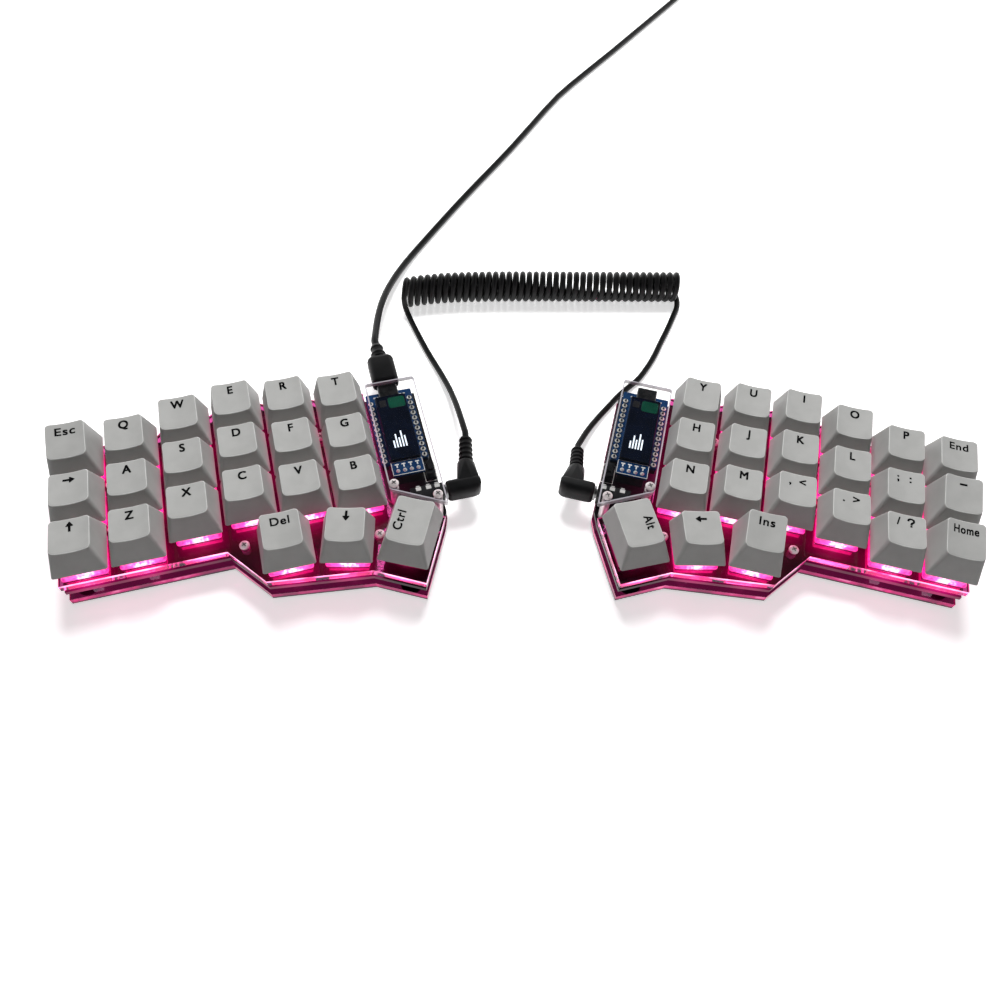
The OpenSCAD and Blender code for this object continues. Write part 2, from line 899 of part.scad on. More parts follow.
// Curly lead: out of the left plug, along the table, the curls, and back to the right plug
function neck_way(lean, droop) = [
  each turned([sin(lean), cos(lean) * cos(droop)], half_turn),
  -cos(lean) * sin(droop)
];
elbow = on_left([elbow_x, jack_y]);
neck_reach = neck_length + relief_length;
left_way = neck_way(neck_lean[0], neck_droop[0]);
right_way = mirrored(neck_way(neck_lean[1], neck_droop[1]));
left_exit = [elbow.x, elbow.y, jack_z] + neck_reach * left_way;
right_exit = [-elbow.x, elbow.y, jack_z] + neck_reach * right_way;
left_route = [
  [-22.3, 31, 10.2], [-24.6, 41.3, 7.2], [-27.6, 51.8, 4.2], [-31.6, 61.9, 2.2], [-36.1, 71.4, 1.4],
  [-40.2, 80.4, 1.4], [-43.2, 87.4, 1.4], [-45.2, 92.2, 1.5], [-46.7, 95.2, 3], [-47.7, 97, 5.6]
];
right_route = [
  [74.6, 106.4, 1.4], [73.9, 102.4, 1.4], [71.9, 97.6, 1.4], [68, 88.9, 1.4], [64.5, 81.8, 1.4],
  [59.4, 71.3, 1.4], [52.9, 61.2, 1.4], [47.6, 55.8, 1.4], [42.9, 51, 1.4], [38.1, 45.1, 1.5],
  [32.8, 38.2, 2.1], [28, 30.7, 3.6]
];
// Middle line of the curls, drawn towards the keys at its left end
curl_z = curl_radius + curly_cord / 2 + seam;
curl_start = [-47.9, 107.3, curl_z];
curl_end = [74.4, 110.1, curl_z];
curl_draw = 4.4;
function curl_middle(share) =
  curl_start + share * (curl_end - curl_start) - [0, curl_draw * pow(1 - share, 8), 0];
curl_rings = 8;
curl_first = 160;
curl_last = -90;
curl_turn = 360 * curls + curl_first - curl_last;
curl_count = floor(curl_turn * curl_rings / 360);
curl_path = [
  for (i = [0 : curl_count])
    let (share = i / curl_count, angle = curl_first - curl_turn * share)
      curl_middle(share) + curl_radius * [0, cos(angle), sin(angle)]
];
left_tail = smooth(concat([left_exit + curly_cord * left_way], left_route, [curl_path[0]]), 2);
right_tail = smooth(concat([curl_path[curl_count]], right_route,
                           [right_exit + curly_cord * right_way]), 2);
curly_path = concat(
  [left_exit], left_tail,
  [for (i = [1 : curl_count - 1]) curl_path[i]],
  right_tail, [right_exit]
);

module curly_lead() {
  color("Black")
    cord_tube(curly_path, curly_cord, 6);
}

// USB lead: out of the device plug, back over the table and into the stored coil
lead_heading = [cos(90 + half_turn), sin(90 + half_turn), 0];
device_exit_place = on_left([controller_x, device_start + device_body.y + device_relief]);
device_exit = [device_exit_place.x, device_exit_place.y, usb_z];
table_z = usb_cord / 2 + 0.1;
usb_route = [
  [-58.3, 75.8, 12.6], [-58.2, 84.5, 10.6], [-57.6, 93.5, 8.6], [-56.2, 103, 6.4], [-53.9, 112.3, 4.6],
  [-50.7, 121.8, 3], [-46.8, 130.8, 2], [-42.3, 139.4, table_z], [-32.6, 156.4, table_z],
  [-22.2, 174.2, table_z], [-10.8, 192.8, table_z], [1.2, 212.5, table_z], [12.9, 233, table_z],
  [28, 259, table_z], [44.5, 281.5, table_z], [61, 303, table_z], [77, 324.5, table_z],
  [93, 346, table_z], [108.5, 367, table_z]
];

// Stored coil: in and out again, one layer on the other
coil_place = [109.6, 405.3];
coil_first = -37;
coil_gap = 0.5;
coil_rings = 24;
layer_step = usb_cord + coil_gap;
coil_base = usb_cord / 2 + 1;
layer_rings = layer_turns * coil_rings;
climb_rings = coil_rings / 2;
coil_total = 2 * layer_rings + climb_rings;
coil_inner = coil_outer - coil_total * layer_step / coil_rings / 2;
function coil_radius(i) = coil_inner + abs(i - coil_total / 2) * layer_step / coil_rings;
function climbed(i) = min(1, max(0, (i - layer_rings) / climb_rings));
coil_path = [
  for (i = [0 : coil_total])
    let (angle = coil_first + 360 * i / coil_rings, rise = climbed(i))
      [coil_place.x + coil_radius(i) * cos(angle), coil_place.y + coil_radius(i) * sin(angle),
       coil_base + layer_step * (3 - 2 * rise) * rise * rise]
];
coil_in_heading = [cos(coil_first + 90), sin(coil_first + 90), 0];
coil_in = coil_path[0] - usb_cord * coil_in_heading;
usb_path = concat(
  [device_exit],
  smooth(concat([device_exit + usb_cord * lead_heading], usb_route,
                [coil_in - 2 * usb_cord * coil_in_heading]), 3),
  [coil_in]
);

// The far end leaves the upper layer and goes straight into the host plug beside the coil
coil_out = coil_path[coil_total];
host_heading = coil_first + 360 * coil_total / coil_rings + 90;
host_way = [cos(host_heading), sin(host_heading), 0];
host_axis = host_body.z / 2;
host_run = 26;
host_steps = [7, 14];
host_drops = [0.4, 1];
host_entry = [coil_out.x, coil_out.y, host_axis] + host_run * host_way;
host_place = host_entry + host_relief * host_way;
host_tail = [
  coil_out + host_steps[0] * host_way - [0, 0, host_drops[0]],
  coil_out + host_steps[1] * host_way - [0, 0, host_drops[1]],
  host_entry - usb_cord * host_way,
  host_entry
];
stored_path = concat([coil_in], coil_path, host_tail);

module usb_lead() {
  color("Black")
    cord_tube(usb_path, usb_cord, 8);
}

// Tie round the turns, on the side away from the plug
module coil_tie() {
  wall = 0.7;
  room = 0.35;
  width = 7;
  inner = coil_inner - usb_cord / 2 - room;
  outer = coil_outer + usb_cord / 2 + room;
  low = coil_base - usb_cord / 2 - room;
  high = coil_base + layer_step + usb_cord / 2 + room;
  translate([coil_place.x, coil_place.y, 0])
    rotate(180)
      translate([(inner + outer) / 2, 0, 0])
        difference() {
          standing_box(outer - inner + 2 * wall, width, max(low - wall, 0), high + wall);
          standing_box(outer - inner, width + overcut, low, high);
        }
}

module usb_lead_coil() {
  color("Black") {
    cord_tube(stored_path, usb_cord, 6);
    coil_tie();
  }
}

echo(curly_lead_length = path_length(curly_path), least_gap = least_gap(curly_path, curly_cord, 6));
echo(usb_lead_length = path_length(usb_path) + path_length(stored_path));
echo(stored_coil_least_gap = least_gap(stored_path, usb_cord, 12));

// Drawing

bottom_plates();
circuit_boards();
switch_plates();
switch_housings();
key_springs();
screws_and_standoffs();
rubber_feet();
display_covers();
displays();
controllers();
jack_sockets();
jack_plugs();
curly_lead();
usb_plugs();
usb_lead();
usb_lead_coil();
reset_button(-1);  // reset_button_left
reset_button(1);  // reset_button_right
for (key = keys)
  key(key);
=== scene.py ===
import math

import bmesh
import bpy
from mathutils import Matrix, Vector


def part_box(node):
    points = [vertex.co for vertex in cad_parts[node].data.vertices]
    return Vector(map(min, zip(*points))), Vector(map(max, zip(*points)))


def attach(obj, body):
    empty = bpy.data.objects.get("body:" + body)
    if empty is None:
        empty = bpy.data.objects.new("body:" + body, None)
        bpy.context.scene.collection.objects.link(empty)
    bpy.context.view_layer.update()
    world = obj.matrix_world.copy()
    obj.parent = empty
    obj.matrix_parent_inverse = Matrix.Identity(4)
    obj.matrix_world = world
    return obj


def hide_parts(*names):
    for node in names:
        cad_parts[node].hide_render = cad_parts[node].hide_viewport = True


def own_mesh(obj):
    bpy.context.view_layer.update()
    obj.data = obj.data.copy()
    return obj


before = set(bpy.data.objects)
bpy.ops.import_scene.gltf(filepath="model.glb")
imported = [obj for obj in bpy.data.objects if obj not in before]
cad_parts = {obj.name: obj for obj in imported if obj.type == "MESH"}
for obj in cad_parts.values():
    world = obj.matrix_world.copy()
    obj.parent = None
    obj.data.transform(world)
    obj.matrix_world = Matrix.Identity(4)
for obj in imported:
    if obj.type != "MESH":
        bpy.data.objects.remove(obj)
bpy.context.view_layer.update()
bpy.context.scene.view_settings.view_transform = "Standard"

# Sizes of the keyboard in millimetres
MM = 0.001
KEY_PITCH = 19.05
HALF_DEGREES = 14.5
HALF_TURN = math.radians(HALF_DEGREES)
HALF_REACH = 155.2
HALF_BACK = -15.6
GRID_END = 5.5 * KEY_PITCH
STAGGER = [step * KEY_PITCH / 8 for step in (0, 0, 2, 3, 2, 1)]
THUMB_KEYS = ((3.533, -1.774, 0), (4.619, -1.916, -14), (5.7375, -2.1155, -27))
LONG_THUMB = 2
LONG_CAP_EXTRA = 0.25 * KEY_PITCH
LONG_PLACE_UNITS = 1.5
LEFT, RIGHT = -1, 1
HALVES = (LEFT, RIGHT)

# Heights above the table
BOTTOM_PLATE_BASE = 1.2
BOTTOM_PLATE_TOP = 4.2
BOARD_BASE = 7.6
BOARD_TOP = 9.2
PLATE_BASE = 11.2
PLATE_TOP = 14.2
SWITCH_TOP = 20.8
SWITCH_FLOOR = 10.4
STEM_BASE = 17.5
CAP_RIM = 19.5
COVER_BASE = 21.2
COVER_TOP = 23.2

# Controller, display and sockets, as places on a half
CONTROLLER_X = GRID_END + 9.925
CONTROLLER_FRONT = -4.4
CONTROLLER_BASE = BOARD_TOP + 2.5
CONTROLLER_TOP = CONTROLLER_BASE + 1.6
USB_BACK = CONTROLLER_FRONT + 34 + 1.2
USB_HEIGHT = CONTROLLER_TOP + 1.4
JACK_INNER = GRID_END + 8.8
JACK_Y = -1.0656 * KEY_PITCH
JACK_HEIGHT = BOARD_TOP + 2.5
BARREL_START = JACK_INNER + 13.3
PIN_LENGTH = 12
ELBOW_X = BARREL_START + 7.3
NECK_LENGTH = 11.5
RELIEF_LENGTH = 11
# Lean of each neck towards the middle, and its droop
NECK_LEAN = {LEFT: math.radians(13.5), RIGHT: math.radians(6)}
NECK_DROOP = {LEFT: 0, RIGHT: math.radians(14)}
DEVICE_START = USB_BACK + 1.6
DEVICE_BODY = (10.4, 14, 7)
DEVICE_RELIEF = 6.6
HOST_BODY = (15.4, 23, 8.4)
HOST_RELIEF = 9


# Camera at the photograph's angle

def make_camera():
    place = Vector((-21.11, -173.41, 278.85)) * MM
    forward = Vector((0.0426, 0.5282, -0.848)).normalized()
    level = forward.cross(Vector((0, 0, 1))).normalized()
    upright = level.cross(forward)
    roll = math.radians(4.51)
    across = math.cos(roll) * level + math.sin(roll) * upright
    up = across.cross(forward)
    data = bpy.data.cameras.new("camera")
    data.lens = 30.73
    data.sensor_width = 36
    data.clip_start = 0.01
    camera = bpy.data.objects.new("camera", data)
    turn = Matrix((across, up, -forward)).transposed()
    camera.matrix_world = Matrix.Translation(place) @ turn.to_4x4()
    bpy.context.collection.objects.link(camera)
    bpy.context.scene.camera = camera


make_camera()


# Materials

def linear(colour):
    """Linear colour of an sRGB hex value."""
    parts = [int(colour[i:i + 2], 16) / 255 for i in (1, 3, 5)]
    parts = [p / 12.92 if p <= 0.04045 else ((p + 0.055) / 1.055) ** 2.4 for p in parts]
    return (*parts, 1.0)


def node(tree, kind, settings):
    """A shader node with its settings: a ramp's stops, a socket's value or the output that feeds it,
    or a property of the node."""
    made = tree.nodes.new(kind)
    for name, value in settings.items():
        if name == "stops":
            elements = made.color_ramp.elements
            while len(elements) < len(value):
                elements.new(1.0)
            for element, (place, colour) in zip(elements, value):
                element.position = place
                element.color = linear(colour)
        elif isinstance(name, str) and name not in made.inputs:
            setattr(made, name, value)
        elif isinstance(value, bpy.types.NodeSocket):
            tree.links.new(value, made.inputs[name])
        else:
            made.inputs[name].default_value = value
    return made


def maths(tree, operation, *values):
    """Result of a sum on numbers or outputs."""
    return node(tree, "ShaderNodeMath", {"operation": operation, **dict(enumerate(values))}).outputs["Value"]


def remap(tree, value, before=(0.0, 1.0), after=(0.0, 1.0)):
    """A value carried from one range to another."""
    return node(tree, "ShaderNodeMapRange", {
        "Value": value, "From Min": before[0], "From Max": before[1],
        "To Min": after[0], "To Max": after[1]}).outputs["Result"]


def ramp(tree, value, stops):
    """A colour that follows a value through stops."""
    return node(tree, "ShaderNodeValToRGB", {"stops": stops, "Fac": value}).outputs["Color"]


def material(name, settings):
    """A material with one main shader, and its node tree."""
    made = bpy.data.materials.new(name)
    made.use_nodes = True
    tree = made.node_tree
    shader = tree.nodes["Principled BSDF"]
    for socket, value in settings.items():
        shader.inputs[socket].default_value = value
    return made, tree, shader


def speckle(tree, size_mm, detail=2.0):
    """Noise in the part's own space, with patches of about this size."""
    space = node(tree, "ShaderNodeTexCoord", {})
    return node(tree, "ShaderNodeTexNoise", {
        "Scale": 1 / (size_mm * MM), "Detail": detail, "Vector": space.outputs["Object"]}).outputs["Fac"]


def mottled(tree, shader, dark, light, size_mm):
    """Base colour that wanders between two near colours."""
    colour = ramp(tree, speckle(tree, size_mm), ((0.35, dark), (0.65, light)))
    tree.links.new(colour, shader.inputs["Base Color"])


def grained(tree, shader, size_mm, depth_mm):
    """Fine raised grain of this size and depth."""
    bump = node(tree, "ShaderNodeBump", {
        "Strength": 1.0, "Distance": depth_mm * MM, "Height": speckle(tree, size_mm)})
    tree.links.new(bump.outputs["Normal"], shader.inputs["Normal"])


def shining(tree, shader, colour, strength):
    """Light given off, with its colour and strength from other nodes."""
    tree.links.new(colour, shader.inputs["Emission Color"])
    tree.links.new(strength, shader.inputs["Emission Strength"])


def moulded(name, dark, light, roughness, grain_mm, depth_mm, extra=None):
    """A moulded or coated solid finish with slight mottling and grain."""
    made, tree, shader = material(name, {"Roughness": roughness, **(extra or {})})
    mottled(tree, shader, dark, light, 6)
    grained(tree, shader, grain_mm, depth_mm)
    return made


LOW_SHEEN = {"Specular IOR Level": 0.25}
# PBT moulded in a spark-eroded tool: even mid grey with a dull sheen. The grain is
# 0.1 mm on the real caps and is drawn at 0.3 mm so that it shows.
cap_pbt = moulded("grey PBT, spark-textured", "#B0B0AE", "#B6B6B4", 0.52, 0.3, 0.02)
# Dye sunk into the plastic: black with the same dull sheen
legend_dye = moulded("black sublimated dye", "#040405", "#08080A", 0.6, 0.3, 0.02, {"Specular IOR Level": 0.1})
# The top edges are smoother, and are painted paler as a highlight: the thin pale line of light that they catch
cap_edge_highlight = moulded("grey PBT, painted edge highlight", "#D0D0CE", "#D8D8D6", 0.4, 0.3, 0.01)
# Acetal stems are self-coloured, pale and waxy
stem_acetal = moulded("pale acetal, moulded", "#C9C4C4", "#D2CDCD", 0.4, 0.5, 0.01)
# Satin black plastics of sockets, plugs and headers
socket_plastic = moulded("black nylon, moulded", "#131314", "#1D1D1F", 0.42, 0.4, 0.02)
plug_vinyl = moulded("black PVC, overmoulded", "#0A0A0B", "#111112", 0.46, 0.5, 0.03, LOW_SHEEN)
# Cord jackets are extruded, so they are smoother than the plugs
cord_vinyl = moulded("black PVC, extruded", "#070708", "#0C0C0D", 0.42, 0.8, 0.02, LOW_SHEEN)
# Rubber feet are matt and nearly black
foot_rubber = moulded("black rubber, die-cut", "#1B1B1B", "#262626", 0.85, 0.4, 0.05)
# White ink printed on the boards
print_ink = moulded("white screen ink", "#DADAD6", "#EEEEEA", 0.6, 0.3, 0.01)
# Solder mask over copper: glossy, with a faint weave of the board under it
blue_mask = moulded("blue solder mask, cured", "#0B2C54", "#103862", 0.28, 0.6, 0.01, LOW_SHEEN)
# Polyimide film over copper lines reads dark green
flex_film = moulded("green polyimide film", "#083F30", "#0C4E3A", 0.25, 1.2, 0.01, LOW_SHEEN)
# Solder joints are small and domed, so each one shows the white walls as a bright dot
solder_tin = moulded("tin solder, reflowed", "#E2E2E0", "#F6F6F3", 0.2, 0.8, 0.01, {"Metallic": 0.3})
# Chip packages are moulded epoxy, matt and near black
chip_epoxy = moulded("black epoxy, moulded", "#131315", "#1B1B1E", 0.6, 0.3, 0.02)


def bare_metal(name, dark, light, roughness, size_mm, metallic=1.0):
    """A metal whose tarnish wanders between two near colours."""
    made, tree, shader = material(name, {"Metallic": metallic, "Roughness": roughness})
    mottled(tree, shader, dark, light, size_mm)
    return made


# Nickel over steel on the screws and standoffs: bright, with a faint pink cast painted in for the pink lamp light
screw_nickel = bare_metal("nickel-plated steel", "#EADCDE", "#FAF2F2", 0.3, 1.5, 0.5)
# Tin on stamped shells and pins is greyer and softer
shell_tin = bare_metal("tinned steel, stamped", "#8E8E8F", "#A4A4A4", 0.3, 2.0)
# Painted shade and reflection: this tin is painted dark for the dark ceiling mirrored in the USB sockets and for
# the shade on the pin ends
tin_painted_dark = bare_metal("tinned steel, painted dark", "#3C3C3E", "#565658", 0.35, 2.0)
spring_steel = bare_metal("spring steel, drawn", "#9A9A9C", "#B9B9BB", 0.3, 1.0)

LAMP_PINK = "#FF1490"
LAMP_HOT = "#FFB4DE"
LAMP_VIOLET = "#B01899"


def acrylic_sheet(name, painted_tint, base, top, bands):
    """Clear cast acrylic cut by laser, with painted light: the faces are clear, with a tint painted in for the pink
    lamp light and, on the bottom plate, for its shade; the lamps' light that comes out at the cut edges is painted
    on as a glow, in bands along them from the base to the top, nearly white where a lamp is close."""
    made, tree, shader = material(name, {
        "Base Color": linear(painted_tint), "Roughness": 0.03, "IOR": 1.49, "Transmission Weight": 1.0})
    space = node(tree, "ShaderNodeTexCoord", {})
    place = node(tree, "ShaderNodeSeparateXYZ", {"Vector": space.outputs["Object"]})
    facing = node(tree, "ShaderNodeSeparateXYZ", {"Vector": space.outputs["Normal"]})
    side = remap(tree, maths(tree, "ABSOLUTE", facing.outputs["Z"]), (0.2, 0.5), (1.0, 0.0))
    band = ramp(tree, remap(tree, place.outputs["Z"], (base * MM, top * MM)), bands)
    # Lamps lie about a key pitch apart, so the light along an edge swells at less than that pitch
    swell = remap(tree, speckle(tree, 9, 4.0), (0.38, 0.66), (0.6, 1.9))
    lit = maths(tree, "MULTIPLY", band, swell)
    heat = ramp(tree, lit, ((0.05, LAMP_VIOLET), (0.25, LAMP_PINK), (0.6, LAMP_PINK), (1.0, LAMP_HOT)))
    shining(tree, shader, heat, maths(tree, "MULTIPLY", lit, side))
    return made


# Painted glow: the switch plate glows along its upper rim, where the white top of its band is also a painted
# highlight on the rim edge, and the bottom plate glows above a foot left dark as in shade by the table; the bottom
# plate's dark maroon tint is painted shade
switch_acrylic = acrylic_sheet("clear acrylic, laser-cut, lit pink", "#B8488A", PLATE_BASE, PLATE_TOP, (
    (0.0, "#484848"), (0.5, "#505050"), (0.64, "#B0B0B0"), (0.74, "#FFFFFF"), (1.0, "#FFFFFF")))
bottom_acrylic = acrylic_sheet(
    "clear acrylic, laser-cut, lit from above", "#64143F", BOTTOM_PLATE_BASE, BOTTOM_PLATE_TOP, (
        (0.0, "#101010"), (0.22, "#2C2C2C"), (0.36, "#A0A0A0"), (0.85, "#B0B0B0"), (1.0, "#606060")))


def clear_cover():
    """Clear cast acrylic with polished faces, colourless: it lets nearly all light through."""
    made, tree, shader = material("clear acrylic, polished", {
        "Base Color": linear("#24282C"), "Roughness": 0.03, "IOR": 1.49, "Alpha": 0.06})
    grained(tree, shader, 4, 0.004)
    return made


cover_acrylic = clear_cover()
# Cut edges of the covers are slightly frosted, and are painted pale as a highlight: the pale lines where they catch
# the light
cover_edge_highlight = moulded("clear acrylic, cut edge, painted highlight", "#B8B4BC", "#C8C4CC", 0.25, 0.5, 0.01, {"Alpha": 0.75})


def lit_polycarbonate():
    """Clear moulded switch housing: the lamp in front of its middle fills it with pink, hottest
    by the lamp, with streaks where the moulding bends the light."""
    made, tree, shader = material("clear polycarbonate, moulded, lit pink", {
        "Base Color": linear("#F26AAE"), "Roughness": 0.12, "IOR": 1.58})
    local = node(tree, "ShaderNodeAttribute", {"attribute_name": "from_lamp"})
    reach = node(tree, "ShaderNodeVectorMath", {"operation": "LENGTH", 0: local.outputs["Vector"]})
    bent = maths(tree, "MULTIPLY_ADD", speckle(tree, 1.4, 3.0), 9.0, reach.outputs["Value"])
    glow = remap(tree, bent, (6.0, 20.0), (1.0, 0.0))
    colour = ramp(tree, glow, ((0.0, "#5A0430"), (0.5, "#F0128A"), (0.85, "#FF4CAE"), (1.0, "#FFC4E6")))
    shining(tree, shader, colour, remap(tree, glow, after=(0.15, 2.2)))
    return made


switch_polycarbonate = lit_polycarbonate()


def lit_board():
    """Black solder mask with pools of pink light round the lamp windows."""
    made, tree, shader = material("black solder mask, lit pink", {"Roughness": 0.3})
    mottled(tree, shader, "#08080A", "#101013", 6)
    glow = node(tree, "ShaderNodeAttribute", {"attribute_name": "glow"})
    shader.inputs["Emission Color"].default_value = linear(LAMP_PINK)
    tree.links.new(maths(tree, "MULTIPLY", glow.outputs["Fac"], 0.5), shader.inputs["Emission Strength"])
    return made


board_mask = lit_board()


def glowing(name, colour, strength, size_mm):
    """A small light source with slight unevenness."""
    made, tree, shader = material(name, {"Roughness": 0.4, "Emission Strength": strength})
    light = ramp(tree, speckle(tree, size_mm), ((0.5, colour), (1.0, "#FFFFFF")))
    tree.links.new(light, shader.inputs["Emission Color"])
    return made


# The lamp chips are silicone domes that glow nearly white at their middle
lamp_silicone = glowing("lit silicone lamp", LAMP_HOT, 3.0, 2.0)
# Display pixels are pale blue white
pixel_glow = glowing("lit display pixels", "#CFE6FF", 0.9, 1.0)
# Display glass: polarised, near black with a blue cast, and mirror smooth
display_glass = moulded("polarised display glass", "#050A18", "#081022", 0.07, 3, 0.001,
                        {"Specular IOR Level": 0.2})


# Shapes are gathered as points in millimetres, faces and a finish for each face

def shape():
    return {"points": [], "faces": [], "finish": []}


def put(work, points, faces, finish=0, at=Matrix()):
    """Adds points and faces to a shape, moved to a place."""
    first = len(work["points"])
    work["points"] += [at @ Vector(p) for p in points]
    work["faces"] += [[first + i for i in face] for face in faces]
    work["finish"] += [finish] * len(faces)


def loft(work, rings, finish=0, at=Matrix(), open_start=False, open_end=False):
    """Skin through closed rings of equal length, with its ends filled."""
    size = len(rings[0])
    faces = []
    for i in range(len(rings) - 1):
        for j in range(size):
            k = (j + 1) % size
            faces.append((i * size + j, i * size + k, (i + 1) * size + k, (i + 1) * size + j))
    if not open_start:
        faces.append(tuple(reversed(range(size))))
    if not open_end:
        faces.append(tuple(range((len(rings) - 1) * size, len(rings) * size)))
    put(work, [p for ring in rings for p in ring], faces, finish, at)


def rounded(width, depth, radius, steps=4, centre=(0, 0)):
    """Outline of a rectangle with round corners, counter-clockwise from the front right."""
    x, y = width / 2 - radius, depth / 2 - radius
    outline = []
    for corner, (cx, cy) in enumerate(((x, -y), (x, y), (-x, y), (-x, -y))):
        for step in range(steps + 1):
            angle = math.radians(-90 + 90 * corner + 90 * step / steps)
            outline.append((centre[0] + cx + radius * math.cos(angle),
                            centre[1] + cy + radius * math.sin(angle)))
    return outline


def raised(outline, height):
    return [(x, y, height) for x, y in outline]


def upended(outline, along):
    """An outline that stands across Y."""
    return [(x, along, z) for x, z in outline]


def turned(profile, steps):
    """Rings round the upright axis from radius and height pairs."""
    turns = [math.tau * i / steps for i in range(steps)]
    return [[(radius * math.cos(turn), radius * math.sin(turn), height) for turn in turns]
            for radius, height in profile]


def soft_box(work, size, base, finish=0, at=Matrix(), centre=(0, 0), radius=0.3, edge=0.15, steps=3):
    """Box with round upright edges and eased rims, standing on a height."""
    radius = max(radius, edge + 0.05)
    inner = rounded(size[0] - 2 * edge, size[1] - 2 * edge, radius - edge, steps, centre)
    outer = rounded(size[0], size[1], radius, steps, centre)
    top = base + size[2]
    loft(work, [raised(inner, base), raised(outer, base + edge),
                raised(outer, top - edge), raised(inner, top)], finish, at)


def prism(work, outline, base, top, finish=0, at=Matrix()):
    loft(work, [raised(outline, base), raised(outline, top)], finish, at)


def lathe(work, profile, finish=0, at=Matrix(), steps=32):
    """Turned solid from radius and height pairs, with its ends filled."""
    loft(work, turned(profile, steps), finish, at)


def pipe(work, outer, inner, base, top, finish=0, at=Matrix(), steps=32):
    """Turned tube, closed on itself."""
    ease = 0.12
    profile = [(inner, base), (outer - ease, base), (outer, base + ease), (outer, top - ease),
               (outer - ease, top), (inner, top)]
    loft(work, turned(profile + profile[:1], steps), finish, at, True, True)


def sweep(work, path, diameter, sides, finish=0, at=Matrix()):
    """Round tube along points."""
    points = [Vector(p) for p in path]
    rings = []
    side = None
    for i, point in enumerate(points):
        along = (points[min(i + 1, len(points) - 1)] - points[max(i - 1, 0)]).normalized()
        side = Vector((0, 0.3, 1)) if side is None else side
        side = (side - side.dot(along) * along).normalized()
        other = along.cross(side)
        rings.append([point + diameter / 2 * (math.cos(math.tau * j / sides) * side
                                              + math.sin(math.tau * j / sides) * other) for j in range(sides)])
    loft(work, rings, finish, at)


def make(name, work, finishes, body="halves", stands_for=(), sharp=35):
    """One object from a gathered shape, riding on its body."""
    mesh = bpy.data.meshes.new(name)
    mesh.from_pydata([Vector(p) * MM for p in work["points"]], [], work["faces"])
    for finish in finishes:
        mesh.materials.append(finish)
    mesh.polygons.foreach_set("material_index", work["finish"])
    mesh.polygons.foreach_set("use_smooth", [True] * len(mesh.polygons))
    made = bpy.data.objects.new(name, mesh)
    bpy.context.collection.objects.link(made)
    tidy = bmesh.new()
    tidy.from_mesh(mesh)
    bmesh.ops.recalc_face_normals(tidy, faces=tidy.faces)
    tidy.to_mesh(mesh)
    tidy.free()
    mesh.set_sharp_from_angle(angle=math.radians(sharp))
    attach(made, body)
    if stands_for:
        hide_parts(*stands_for)
    return made


# Places on the halves

def spot(side, x, y, z=0, turn=0):
    """From a place on a half, measured from its outer home key, to the shared frame."""
    half = Matrix.Translation((side * HALF_REACH, HALF_BACK, 0)) @ Matrix.Rotation(-side * HALF_TURN, 4, "Z")
    return half @ Matrix.Translation((-side * x, y, z)) @ Matrix.Rotation(-side * math.radians(turn), 4, "Z")


def on_half(side, outline):
    """An outline given for the left half, as it lies on either half."""
    if side == LEFT:
        return outline
    return [(-x, y) for x, y in reversed(outline)]


def half_frame(side):
    return spot(side, 0, 0)


def pitched(places):
    return [(x * KEY_PITCH, y * KEY_PITCH) for x, y in places]


PLATE_SCREWS = pitched(((0.5, 0.5), (0.5, -0.5), (2.777, -1.417), (4.5, 0.688), (5.2126, -1.7743)))
COVER_SCREWS = [(GRID_END + 3, -1.0446 * KEY_PITCH), (GRID_END + 17.2, -1.4646 * KEY_PITCH)]
GLOW_LAMPS = pitched(((0.5, 0), (2.5, 0.42), (3.5, -0.1), (4.5, -0.42), (4.07, -1.89), (6.04, 0.42)))
LAMP_FORWARD = 4.7

